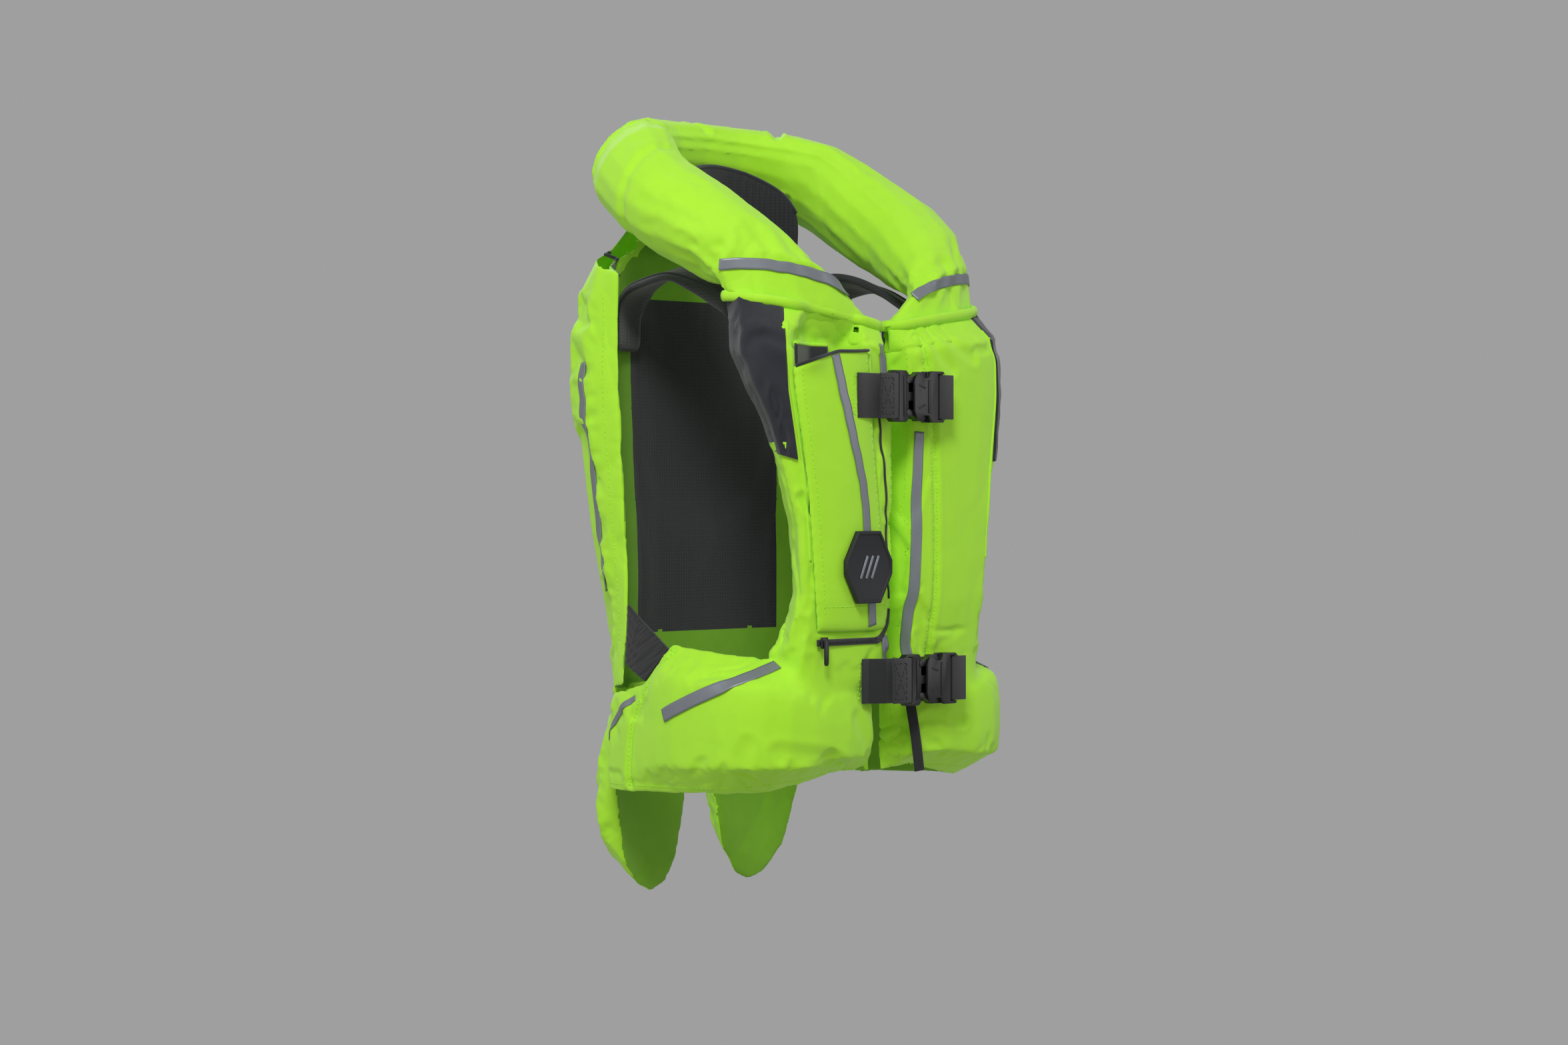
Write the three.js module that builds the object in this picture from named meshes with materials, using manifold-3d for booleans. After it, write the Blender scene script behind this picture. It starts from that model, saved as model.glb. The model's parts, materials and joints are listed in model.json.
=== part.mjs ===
// Inflated airbag vest with a horseshoe collar: a neon shell around air chambers, closed by two buckles.
// Millimetres, +Z up. The wearer faces -Y and the wearer's right side is -X.
// The origin is between the shoulders, at the height where the shoulder straps rest.
import * as THREE from 'three';
import { mergeVertices } from 'three/addons/utils/BufferGeometryUtils.js';
import Module from 'manifold-3d';

const wasm = await Module();
wasm.setup();

// ---- driving dimensions ---------------------------------------------------------------------
const GAP = 0.3;                      // clearance between pieces that touch
const SEAT = 0.6;                     // clearance of a piece seated on a curved cover
const TAPE_SEAT = 1.1;                // clearance of tape that crosses the grid of a fuller curve
const LINING = 1.5;                   // thickness of the inner lining
const FABRIC = 1.6;                   // thickness of the outer cover
const TORSO = { halfWidth: 155, halfDepth: 112, power: 4 };        // the body space inside the vest
const FRONT = { halfWidth: 176, halfDepth: 151, power: 5 };        // outside of the inflated fronts
const BACK = { halfWidth: 171, halfDepth: 155, power: 5 };         // outside of the inflated back
const WAIST = { z: -300, tuck: 0.05, spread: 120 };                // the waist is drawn in a little
const SEAM_TOP = { centre: -62, side: -37 };                       // front seam of the collar
const WAIST_SEAM = -381;              // seam between the fronts and the hip wraps
const HEM = { front: -463, side: -478, rear: -484 };
const SIDE_BACK = 111;                // angle where the back panel's side edge lies
const WRAP_END = 126;                 // angle where the hip wrap ends on the back
const TAIL = { tip: -586, notch: -472, lobeColumns: 6 };               // two lobes and the notch between them
const ARMHOLE_FLOOR = -353;
const SEAM_RISE = 17;                 // how thick a chamber still is where the collar is sewn on
const POCKET = { floor: 4, wall: 2, crown: 4 };                      // cargo pocket on the right front
const STRIP = 1;                      // thickness of reflective tape
const STRAP = { width: 40, thick: 1.8, slack: 0.6, sewnTail: 22, freeTail: 17, stitched: 8 };
const ELASTIC = { top: -312, bottom: -366 };   // ends of the side elastic on the back's edge
const BUCKLE = { height: 46, plugLength: 22, prongLength: 28, socketLength: 41, thick: 7, wall: 2.3,
  fit: 0.6, pivot: 14.5, pivotRadius: 3, slot: 5, mouth: 5, tongue: 4, corner: 3, tipRoom: 5, root: 0.5 };
const BUCKLES = [{ name: 'upper', x: -7, z: -124 }, { name: 'lower', x: 10, z: -378 }];
const BUCKLE_Y = -161;                // middle plane of both buckles
const BADGE = { height: 64, width: 58, flat: 28, side: 12, thick: 5, rim: 3, recess: 1, x: -56, z: -276 };
const ZIP = { start: -106, length: 74, thick: 2, tall: 6, z: -342, slider: { x: 8, y: 3, z: 10 },
  puller: { x: 5, y: 1.6, z: 22 } };
const CYLINDER = { radius: 12, length: 118, neck: 6 };
const INFLATOR = { radius: 13, height: 46, socket: 16 };
const GAS = { angle: 25.5, top: -118 };      // place of the inflator in the pocket
const COLLAR = { steps: 20, sides: 14, wall: 1.6 };
const LINER = { radius: 84, thick: 6, bottom: 18, side: 58, top: 101, spread: 58, middle: 8 };
const PAD = { inner: 88, outer: 140, thick: 8, seat: 3 };            // shoulder pad, from the middle out

// ---- colours --------------------------------------------------------------------------------
const colours = {
  neon: [0xa6f21c, 0.75, 0], shade: [0x4f9a1a, 0.85, 0], film: [0x2b2e33, 0.6, 0],
  black: [0x17191d, 0.85, 0], webbing: [0x131416, 0.9, 0], plastic: [0x101113, 0.35, 0],
  tape: [0x8e9298, 0.45, 0.2], steel: [0xb9bcc0, 0.3, 1], rubber: [0x15171a, 0.6, 0],
};
const vest = new THREE.Group();

function add(name, colour, geometry) {
  const [hex, roughness, metalness] = colours[colour];
  const material = new THREE.MeshStandardMaterial({ color: hex, roughness, metalness });
  const mesh = new THREE.Mesh(geometry, material);
  mesh.name = name;
  vest.add(mesh);
  return mesh;
}

// ---- closed bodies --------------------------------------------------------------------------
function signedVolume(points, faces) {
  let sum = 0;
  for (const [a, b, c] of faces) sum += points[a].dot(points[b].clone().cross(points[c]));
  return sum / 6;
}

function bodyFrom(points, faces) {
  const turned = signedVolume(points, faces) < 0 ? faces.map(([a, b, c]) => [a, c, b]) : faces;
  const geometry = new THREE.BufferGeometry();
  const numbers = points.flatMap((p) => [p.x, p.y, p.z]);
  geometry.setAttribute('position', new THREE.Float32BufferAttribute(numbers, 3));
  geometry.setIndex(turned.flat());
  return geometry;
}

// A sheet with thickness: two matching grids of points, joined along their four edges.
function sheetBody(outer, inner, columns, rows) {
  const points = [];
  const faces = [];
  const layers = [outer, inner];
  for (const layer of layers) {
    for (let j = 0; j <= rows; j += 1) for (let i = 0; i <= columns; i += 1) points.push(layer(i, j));
  }
  const across = columns + 1;
  const id = (layer, i, j) => layer * across * (rows + 1) + j * across + i;
  for (let j = 0; j < rows; j += 1) {
    for (let i = 0; i < columns; i += 1) {
      for (const layer of [0, 1]) {
        const [a, b] = [id(layer, i, j), id(layer, i + 1, j)];
        const [c, d] = [id(layer, i + 1, j + 1), id(layer, i, j + 1)];
        if (layer === 0) faces.push([a, b, c], [a, c, d]);
        else faces.push([a, c, b], [a, d, c]);
      }
    }
  }
  const border = [];
  for (let i = 0; i < columns; i += 1) border.push([i, 0]);
  for (let j = 0; j < rows; j += 1) border.push([columns, j]);
  for (let i = columns; i > 0; i -= 1) border.push([i, rows]);
  for (let j = rows; j > 0; j -= 1) border.push([0, j]);
  border.forEach(([i, j], k) => {
    const [i2, j2] = border[(k + 1) % border.length];
    const [a, b, c, d] = [id(0, i, j), id(0, i2, j2), id(1, i2, j2), id(1, i, j)];
    faces.push([a, c, b], [a, d, c]);
  });
  return bodyFrom(points, faces);
}

// A pipe through rings of points: hollow and open at both ends when an inner ring is given.
function ringBody(outer, inner, steps, sides) {
  const points = [];
  const faces = [];
  const layers = inner ? [outer, inner] : [outer];
  for (const layer of layers) {
    for (let k = 0; k <= steps; k += 1) for (let s = 0; s < sides; s += 1) points.push(layer(k, s));
  }
  const id = (layer, k, s) => layer * sides * (steps + 1) + k * sides + (s % sides);
  for (let k = 0; k < steps; k += 1) {
    for (let s = 0; s < sides; s += 1) {
      layers.forEach((_, layer) => {
        const [a, b] = [id(layer, k, s), id(layer, k, s + 1)];
        const [c, d] = [id(layer, k + 1, s + 1), id(layer, k + 1, s)];
        if (layer === 0) faces.push([a, b, c], [a, c, d]);
        else faces.push([a, c, b], [a, d, c]);
      });
    }
  }
  for (const [k, first] of [[0, true], [steps, false]]) {
    const centre = points.length;
    if (!inner) {
      const middle = new THREE.Vector3();
      for (let s = 0; s < sides; s += 1) middle.add(points[id(0, k, s)]);
      points.push(middle.divideScalar(sides));
    }
    for (let s = 0; s < sides; s += 1) {
      const [a, b] = [id(0, k, s), id(0, k, s + 1)];
      if (!inner) {
        faces.push(first ? [b, a, centre] : [a, b, centre]);
      } else {
        const [c, d] = [id(1, k, s + 1), id(1, k, s)];
        faces.push(...(first ? [[a, c, b], [a, d, c]] : [[a, b, c], [a, c, d]]));
      }
    }
  }
  return bodyFrom(points, faces);
}

// ---- booleans -------------------------------------------------------------------------------
function solid(geometry) {
  const plain = geometry.clone();
  plain.deleteAttribute('normal');
  plain.deleteAttribute('uv');
  const merged = mergeVertices(plain, 1e-4);
  return new wasm.Manifold(new wasm.Mesh({
    numProp: 3,
    vertProperties: new Float32Array(merged.attributes.position.array),
    triVerts: new Uint32Array(merged.index.array),
  }));
}

function geometryOf(manifold) {
  const mesh = manifold.getMesh();
  const geometry = new THREE.BufferGeometry();
  geometry.setAttribute('position', new THREE.Float32BufferAttribute(mesh.vertProperties, 3));
  geometry.setIndex(Array.from(mesh.triVerts));
  return geometry;
}

// Box, cylinder and outline helpers, each placed in the vest's frame.
function box(x, y, z, cx, cy, cz) {
  return new THREE.BoxGeometry(x, y, z).translate(cx, cy, cz);
}

function shapeOf(points) {
  const shape = new THREE.Shape();
  points.forEach(([x, y], k) => (k ? shape.lineTo(x, y) : shape.moveTo(x, y)));
  return shape;
}

// An outline drawn in X and Z, extruded along Y and centred on y.
function slabXZ(shape, thick, y) {
  const geometry = new THREE.ExtrudeGeometry(shape, { depth: thick, bevelEnabled: false });
  return geometry.translate(0, 0, -thick / 2).rotateX(Math.PI / 2).translate(0, y, 0);
}

// An outline drawn in X and Y, extruded along Z and centred on z.
function slabXY(shape, tall, z) {
  const geometry = new THREE.ExtrudeGeometry(shape, { depth: tall, bevelEnabled: false });
  return geometry.translate(0, 0, z - tall / 2);
}

// ---- body coordinates: angle from the front centre, height, distance out from the torso ------
const radians = THREE.MathUtils.degToRad;
const mix = THREE.MathUtils.lerp;

function radiusOf(form, angle) {
  const across = Math.abs(Math.sin(radians(angle))) / form.halfWidth;
  const deep = Math.abs(Math.cos(radians(angle))) / form.halfDepth;
  return (across ** form.power + deep ** form.power) ** (-1 / form.power);
}

function torsoRadius(angle, z) {
  return radiusOf(TORSO, angle) * (1 - WAIST.tuck * Math.exp(-(((z - WAIST.z) / WAIST.spread) ** 2)));
}

function at(angle, z, out) {
  const r = torsoRadius(angle, z) + out;
  return new THREE.Vector3(-Math.sin(radians(angle)) * r, -Math.cos(radians(angle)) * r, z);
}

// Straight-line curve through [place, value] pairs.
function along(pairs, place) {
  if (place <= pairs[0][0]) return pairs[0][1];
  for (let k = 1; k < pairs.length; k += 1) {
    const [[p0, v0], [p1, v1]] = [pairs[k - 1], pairs[k]];
    if (place <= p1) return mix(v0, v1, (place - p0) / (p1 - p0));
  }
  return pairs[pairs.length - 1][1];
}

// How full a chamber is between two seams, 0 at the seams and 1 over most of the middle.
const pillow = (s) => Math.sqrt(Math.max(0, 1 - Math.abs(2 * s - 1) ** 5));

// ---- a three-layer panel: lining, air bladder and cover on one grid ----------------------------
function layer(panel, range, inner, outer) {
  const [i0, i1, j0, j1] = range;
  const place = (out) => (i, j) => {
    const [a, b] = [i + i0, j + j0];
    return at(panel.angle(a, b), panel.height(a, b), out(a, b));
  };
  return sheetBody(place(outer), place(inner), i1 - i0, j1 - j0);
}

const LOW = LINING + GAP;             // where bladders and cover edges start
const coverInner = (panel) => (i, j) => LOW + panel.rise(i, j);
const coverOuter = (panel) => (i, j) => LOW + FABRIC + panel.rise(i, j);

function layeredPanel(name, panel, liningColour) {
  const { columns, rows } = panel;
  add(`${name}_cover`, 'neon', layer(panel, [0, columns, 0, rows], coverInner(panel), coverOuter(panel)));
  add(`${name}_bladder`, 'film', layer(panel, [1, columns - 1, 1, rows - 1], () => LOW,
    (i, j) => LOW + panel.rise(i, j) - GAP));
  add(`${name}_lining`, liningColour, layer(panel, [0, columns, 0, rows], () => 0, () => LINING));
}

// A thin piece lying on a panel's cover, over part of the same grid.
function onCover(panel, range, thick) {
  const outer = coverOuter(panel);
  return layer(panel, range, (i, j) => outer(i, j) + SEAT, (i, j) => outer(i, j) + SEAT + thick);
}

// A point between grid lines, on the flat facet that the grid's own faces make there.
function onFacet(place, i, j) {
  const [i0, j0] = [Math.floor(i), Math.floor(j)];
  const [s, t] = [i - i0, j - j0];
  const corner = (a, b) => place(i0 + (a && s > 0 ? 1 : 0), j0 + (b && t > 0 ? 1 : 0));
  const [a, b, c, d] = [corner(0, 0), corner(1, 0), corner(1, 1), corner(0, 1)];
  if (t <= s) return a.clone().addScaledVector(b.clone().sub(a), s).addScaledVector(c.sub(b), t);
  return a.clone().addScaledVector(d.clone().sub(a), t).addScaledVector(c.sub(d), s);
}

// The same point moved out along the surface's normal.
function lifted(place, i, j, out, towards) {
  const step = 0.3;
  const across = onFacet(place, i + step, j).sub(onFacet(place, i - step, j));
  const down = onFacet(place, i, j + step).sub(onFacet(place, i, j - step));
  const normal = across.cross(down).normalize();
  const point = onFacet(place, i, j);
  if (normal.dot(point.clone().sub(towards)) < 0) normal.negate();
  return point.addScaledVector(normal, out);
}

// A ribbon on a grid surface; route(b) gives its two edge places for b from 0 to 1.
function ribbon(place, route, steps, thick, towards, seat) {
  const surface = (out) => (a, b) => {
    const [[i0, j0], [i1, j1]] = route(b / steps);
    return lifted(place, mix(i0, i1, a / 2), mix(j0, j1, a / 2), out, towards);
  };
  return sheetBody(surface(seat + thick), surface(seat), 2, steps);
}

// ---- fronts -----------------------------------------------------------------------------------
const INSERT_COLUMN = 7;              // the chest insert starts at this grid line
const POCKET_GRID = [2, 6, 1, 10];    // first and last column and row of the cargo pocket
const frontTop = (angle) => mix(SEAM_TOP.centre, SEAM_TOP.side, Math.min(1, Math.abs(angle) / 60));
const ARMHOLE_ANGLE = [[-353, 50], [-332, 47], [-285, 42], [-223, 43], [-181, 48], [-149, 51],
  [-90, 62], [-37, 63]];
const INSERT_ANGLE = [[-353, 36], [-285, 38], [-200, 40], [-110, 44], [-37, 45]];
const POCKET_ANGLE = [[-353, 5.5], [-320, 6], [-148, 13.5], [-82, 15.5]];
const FRONT_ROWS = [0, 0.08, 0.15, 0.24, 0.33, 0.42, 0.51, 0.6, 0.69, 0.78, 0.86, 0.93, 1];
const WRAP_TOP = [[0, WAIST_SEAM], [36, WAIST_SEAM], [50, ARMHOLE_FLOOR - 3], [62, ARMHOLE_FLOOR],
  [86, ARMHOLE_FLOOR + 8], [100, WAIST_SEAM], [WRAP_END, WAIST_SEAM - 13]];
const wrapTop = (angle) => along(WRAP_TOP, Math.abs(angle));
// How full the chambers are at the waist seam.
const seamShare = (angle) => along([[0, 0.85], [40, 0.85], [50, 0]], Math.abs(angle));
const centreEdge = (side) => (side > 0 ? 2 : 5);      // the fronts stand a finger apart

function frontPanel(side) {
  const columns = 10;
  const edge = centreEdge(side);
  const rows = FRONT_ROWS.length - 1;
  const share = (j) => FRONT_ROWS[j];
  const lines = (j) => {
    const z = mix(SEAM_TOP.side, ARMHOLE_FLOOR, share(j));
    const [insert, armhole] = [INSERT_ANGLE, ARMHOLE_ANGLE].map((line) => along(line, z));
    const pocket = Math.max(along(POCKET_ANGLE, z), edge + 3.5);
    const beside = insert - 1.5;
    const inPocket = [0, 0.2, 0.5, 0.8, 1].map((part) => mix(pocket, beside, part));
    const outside = [0, 1 / 3, 2 / 3, 1].map((part) => mix(insert, armhole, part));
    return [edge, edge + 2, ...inPocket, ...outside];
  };
  const panel = { columns, rows };
  panel.angle = (i, j) => side * lines(j)[i];
  panel.height = (i, j) => {
    const angle = panel.angle(i, j);
    return mix(frontTop(angle), wrapTop(angle) + 1, share(j));
  };
  panel.full = (i, j) => {
    const [angle, z] = [panel.angle(i, j), panel.height(i, j)];
    const room = radiusOf(FRONT, angle) - torsoRadius(angle, z) - LOW - FABRIC;
    const across = [0, 0.85, 0.97, 1, 1, 1, 1, 1, 0.97, 0.86, 0][i];
    const down = Math.max(pillow(0.06 + 0.94 * share(j)), seamShare(angle));
    return j === 0 ? SEAM_RISE * Math.min(1, across) : room * across * down;
  };
  // Under the cargo pocket the chamber is held flat, so the gas cylinder has its room there.
  const [i0, i1, j0, j1] = POCKET_GRID;
  const flattened = (i, j) => side > 0 && i > i0 && i < i1 && j >= j0 && j < j1;
  panel.rise = (i, j) => (flattened(i, j) ? Math.min(POCKET.floor, panel.full(i, j)) : panel.full(i, j));
  panel.place = (i, j) => at(panel.angle(i, j), panel.height(i, j), coverOuter(panel)(i, j));
  return panel;
}

const fronts = { right: frontPanel(1), left: frontPanel(-1) };
for (const [side, panel] of Object.entries(fronts)) {
  layeredPanel(`front_${side}`, panel, 'black');
  add(`chest_insert_${side}`, 'black', onCover(panel, [INSERT_COLUMN, panel.columns, 0, 5], FABRIC));
}

// ---- hip wraps ----------------------------------------------------------------------------------
const HEM_LINE = [[0, HEM.front], [25, HEM.front + 3], [48, HEM.side + 4], [70, HEM.side],
  [WRAP_END, HEM.rear]];

function hipWrap(side) {
  const angles = [centreEdge(side), 12, 24, 36, 43, 50, 56, 62, 70, 78, 86, 93, 100, 109, 118, WRAP_END];
  const columns = angles.length - 1;
  const rows = 5;
  const panel = { columns, rows };
  panel.angle = (i) => side * angles[i];
  panel.height = (i, j) => {
    const angle = Math.abs(panel.angle(i));
    return mix(wrapTop(angle), along(HEM_LINE, angle), j / rows);
  };
  panel.rise = (i, j) => {
    const [angle, z] = [panel.angle(i), panel.height(i, j)];
    const rearShare = along([[80, 0], [120, 1]], Math.abs(angle));
    const outside = mix(radiusOf(FRONT, angle), radiusOf(BACK, angle) * 0.86, rearShare);
    const down = j === 0 ? seamShare(angle) : pillow(j / rows);
    return Math.max(0, outside - torsoRadius(angle, z) - LOW - FABRIC) * pillow(i / columns) * down;
  };
  panel.place = (i, j) => at(panel.angle(i), panel.height(i, j), coverOuter(panel)(i, j));
  return panel;
}

const wraps = { right: hipWrap(1), left: hipWrap(-1) };
for (const [side, panel] of Object.entries(wraps)) layeredPanel(`hip_wrap_${side}`, panel, 'shade');

// ---- back and tail ------------------------------------------------------------------------------
const BACK_TOP = [[SIDE_BACK, -10], [130, 6], [140, 16], [148, 44], [158, 66], [180, 76]];
const BACK_FULL = [[TAIL.tip, 0.8], [-540, 0.91], [-484, 0.92], [-430, 0.86], [-390, 0.8], [-335, 0.84],
  [-248, 0.92], [-120, 1], [0, 1], [80, 0.86]];
const folded = (angle) => 180 - Math.abs(180 - angle);
const backTop = (angle) => along(BACK_TOP, folded(angle));
const backBottom = (angle) => wrapTop(Math.min(folded(angle), WRAP_END)) + SEAT;

const back = { columns: 14, rows: 11 };
back.angle = (i) => mix(SIDE_BACK, 360 - SIDE_BACK, i / back.columns);
back.height = (i, j) => mix(backTop(back.angle(i)), backBottom(back.angle(i)), j / back.rows);
back.rise = (i, j) => {
  const [angle, z] = [back.angle(i), back.height(i, j)];
  const room = radiusOf(BACK, angle) * along(BACK_FULL, z) - torsoRadius(angle, z) - LOW - FABRIC;
  return Math.max(0, room) * pillow(i / back.columns) * pillow(0.02 + 0.96 * (j / back.rows));
};
back.place = (i, j) => at(back.angle(i), back.height(i, j), coverOuter(back)(i, j));
layeredPanel('back', back, 'black');

// The tail hangs below the back as two rounded lobes, one behind each hip.
const tail = { columns: 14, rows: 6 };
const lobe = (i) => {
  const share = Math.min(i, tail.columns - i) / TAIL.lobeColumns;
  return share < 1 ? Math.sqrt(Math.sin(Math.PI * share)) : 0;
};
tail.angle = (i) => mix(WRAP_END + 2, 358 - WRAP_END, i / tail.columns);
tail.height = (i, j) => mix(wrapTop(WRAP_END), mix(TAIL.notch, TAIL.tip, lobe(i)), j / tail.rows);
tail.rise = (i, j) => {
  const [angle, z] = [tail.angle(i), tail.height(i, j)];
  const room = radiusOf(BACK, angle) * along(BACK_FULL, z) - torsoRadius(angle, z) - LOW - FABRIC;
  return Math.max(0, room) * pillow(i / tail.columns) * pillow(j / tail.rows);
};
layeredPanel('tail', tail, 'shade');

// ---- collar -------------------------------------------------------------------------------------
// Each station is a centre, a half-width vector pointing away from the neck and a half-height vector.
const STATIONS = [
  [[-110, -93, -16], [-56, 24, 8], [-8, -18, 15]],
  [[-127, -42, 22], [-44, 8, -8], [-14, -14, 29]],
  [[-130, 12, 50], [-38, 0, -22], [-18, -8, 33]],
  [[-119, 62, 82], [-34, 18, -18], [-12, -10, 32]],
  [[-88, 102, 100], [-24, 24, -8], [-2, -4, 32]],
  [[-40, 122, 107], [-6, 29, -6], [0, 0, 29]],
].map((station) => station.map((v) => new THREE.Vector3(...v)));

const collarSides = COLLAR.sides;
const seamHalf = 30;                  // half of the seam, as an angle round the torso

function seamPoint(turn, side, inset) {
  const angle = side * (33 + (seamHalf - inset * 0.4) * Math.cos(turn));
  const middle = LINING / 2 + (SEAM_RISE + FABRIC) / 2;
  const half = middle + 1 - inset;
  return at(angle, frontTop(angle) + SEAT, middle + half * Math.sin(turn));
}

function collarCurve(pick) {
  const oneSide = STATIONS.map((station) => pick(station));
  const mirrored = oneSide.map((v) => v.clone().setX(-v.x)).reverse();
  return [...oneSide, ...mirrored];
}

const rows3 = [0, 1, 2].map((row) => new THREE.CatmullRomCurve3(collarCurve((station) => station[row])));

function collarPoint(inset) {
  return (k, s) => {
    const turn = (2 * Math.PI * s) / collarSides;
    if (k === 0) return seamPoint(turn, 1, inset);
    if (k === COLLAR.steps) return seamPoint(turn, -1, inset);
    const [centre, wide, high] = rows3.map((curve) => curve.getPoint((k - 1) / (COLLAR.steps - 2)));
    const [w, h] = [wide.length(), high.length()];
    return centre.clone().addScaledVector(wide, ((w - inset) / w) * Math.cos(turn))
      .addScaledVector(high, ((h - inset) / h) * Math.sin(turn));
  };
}

add('collar_cover', 'neon', ringBody(collarPoint(0), collarPoint(COLLAR.wall), COLLAR.steps, collarSides));
const inside = collarPoint(COLLAR.wall + GAP + 0.4);
add('collar_bladder', 'film', ringBody((k, s) => inside(k + 1, s), null, COLLAR.steps - 2, collarSides));

// Padded liner that stands up behind the neck.
function neckLiner() {
  const [columns, rows] = [12, 3];
  const ring = (out) => (i, j) => {
    const angle = radians(mix(180 - LINER.spread, 180 + LINER.spread, i / columns));
    const top = mix(LINER.side, LINER.top, Math.sin((Math.PI * i) / columns) ** 0.6);
    const r = LINER.radius + out;
    const z = mix(LINER.bottom, top, j / rows);
    return new THREE.Vector3(-Math.sin(angle) * r, LINER.middle - Math.cos(angle) * r, z);
  };
  return sheetBody(ring(LINER.thick), ring(0), columns, rows);
}
add('neck_liner', 'black', neckLiner());

// ---- shoulder pads ------------------------------------------------------------------------------
function shoulderPad(side) {
  const columns = 3;
  const rows = 14;
  const path = (x) => {
    const depth = TORSO.halfDepth * (1 - (x / TORSO.halfWidth) ** TORSO.power) ** (1 / TORSO.power);
    const lift = mix(0, -12, (x - PAD.inner) / (PAD.outer - PAD.inner));
    const edge = depth - PAD.seat;
    const bends = [[-edge, -92], [-edge, -70], [-edge * 0.86, -50], [-edge * 0.42, lift - 20],
      [edge * 0.1, lift], [edge * 0.5, lift - 4], [edge * 0.86, -24], [edge, -48], [edge, -80]];
    return new THREE.CatmullRomCurve3(bends.map(([y, z]) => new THREE.Vector3(0, y, z)));
  };
  const surface = (inward) => (i, j) => {
    const x = mix(PAD.inner, PAD.outer, i / columns);
    const curve = path(x);
    const point = curve.getPoint(j / rows);
    const tangent = curve.getTangent(j / rows);
    return new THREE.Vector3(-side * x, point.y + tangent.z * inward, point.z - tangent.y * inward);
  };
  return sheetBody(surface(0), surface(PAD.thick), columns, rows);
}
add('shoulder_pad_right', 'black', shoulderPad(1));
add('shoulder_pad_left', 'black', shoulderPad(-1));

// ---- elastic between the back's side edge and the hip wrap ----------------------------------------
function sideElastic(side) {
  const [near, far] = [88.5, 100];    // where it runs along the top edge of the hip wrap
  const edge = SIDE_BACK - 0.4;
  const low = [[near, wrapTop(near) + SEAT], [far, wrapTop(far) + SEAT]];
  const high = [[edge, ELASTIC.top], [edge, ELASTIC.bottom]];
  const surface = (out) => (i, j) => {
    const [a, b] = [low, high].map((ends) => [0, 1].map((n) => mix(ends[0][n], ends[1][n], j / 2)));
    return at(side * mix(a[0], b[0], i / 4), mix(a[1], b[1], i / 4), out);
  };
  return sheetBody(surface(GAP + STRAP.thick), surface(GAP), 4, 2);
}
add('side_elastic_right', 'webbing', sideElastic(1));
add('side_elastic_left', 'webbing', sideElastic(-1));

// The foremost reach of some surfaces inside a window of X and Z.
function frontmost(surfaces, [x0, x1], [z0, z1]) {
  let reach = 0;
  for (const { place, columns, rows } of surfaces) {
    for (let i = 0; i < columns; i += 0.2) {
      for (let j = 0; j < rows; j += 0.25) {
        const point = onFacet(place, i, j);
        const within = point.x > x0 && point.x < x1 && point.z > z0 && point.z < z1;
        if (within) reach = Math.min(reach, point.y);
      }
    }
  }
  return reach;
}

// ---- cargo pocket on the right front ------------------------------------------------------------
const pocket = {
  columns: POCKET_GRID[1] - POCKET_GRID[0],
  rows: POCKET_GRID[3] - POCKET_GRID[2],
  panel: fronts.right,
};
pocket.inside = (i, j) => {
  const crown = POCKET.crown * Math.sin((Math.PI * (i - POCKET_GRID[0])) / pocket.columns);
  return LOW + FABRIC + pocket.panel.full(i, j) + SEAT + crown;
};
pocket.outside = (i, j) => pocket.inside(i, j) + POCKET.wall;
const [pocketColumn, , pocketRow] = POCKET_GRID;
pocket.place = (i, j) => {
  const [a, b] = [i + pocketColumn, j + pocketRow];
  return at(pocket.panel.angle(a, b), pocket.panel.height(a, b), pocket.outside(a, b));
};
add('pocket_shell', 'neon', layer(pocket.panel, POCKET_GRID, pocket.inside, pocket.outside));
const liningFace = (i, j) => pocket.inside(i, j) - GAP;
const liningBack = (i, j) => liningFace(i, j) - STRIP;
add('pocket_lining', 'black', layer(pocket.panel, [3, 5, 1, 3], liningBack, liningFace));

// ---- gas inflator in the pocket: a body with a screwed-in cylinder --------------------------------
const gas = at(GAS.angle, GAS.top, LOW + FABRIC + POCKET.floor
  + (GAP + INFLATOR.radius) / Math.cos(radians(GAS.angle)));
const inflatorBase = GAS.top - INFLATOR.height;
const cylinderTop = inflatorBase - GAP;

function turned(points) {
  const profile = points.map((point) => new THREE.Vector2(...point));
  return new THREE.LatheGeometry(profile, 20).rotateX(Math.PI / 2).translate(gas.x, gas.y, 0);
}

function inflatorGeometry() {
  const { radius, socket } = INFLATOR;
  const neck = CYLINDER.neck + GAP;
  return turned([[0, inflatorBase + socket], [neck, inflatorBase + socket], [neck, inflatorBase],
    [radius - 1, inflatorBase], [radius, inflatorBase + 1], [radius, GAS.top - 3], [radius - 3, GAS.top],
    [0, GAS.top]]);
}

function cylinderGeometry() {
  const { radius, neck } = CYLINDER;
  const foot = cylinderTop - CYLINDER.length;
  const end = inflatorBase + INFLATOR.socket - 2;
  return turned([[0, foot], [radius * 0.6, foot + 1], [radius * 0.93, foot + 5], [radius, foot + 11],
    [radius, cylinderTop - 16], [radius * 0.85, cylinderTop - 7], [neck, cylinderTop - 2], [neck, end],
    [0, end]]);
}
add('inflator_body', 'plastic', inflatorGeometry());
add('gas_cylinder', 'steel', cylinderGeometry());

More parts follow.
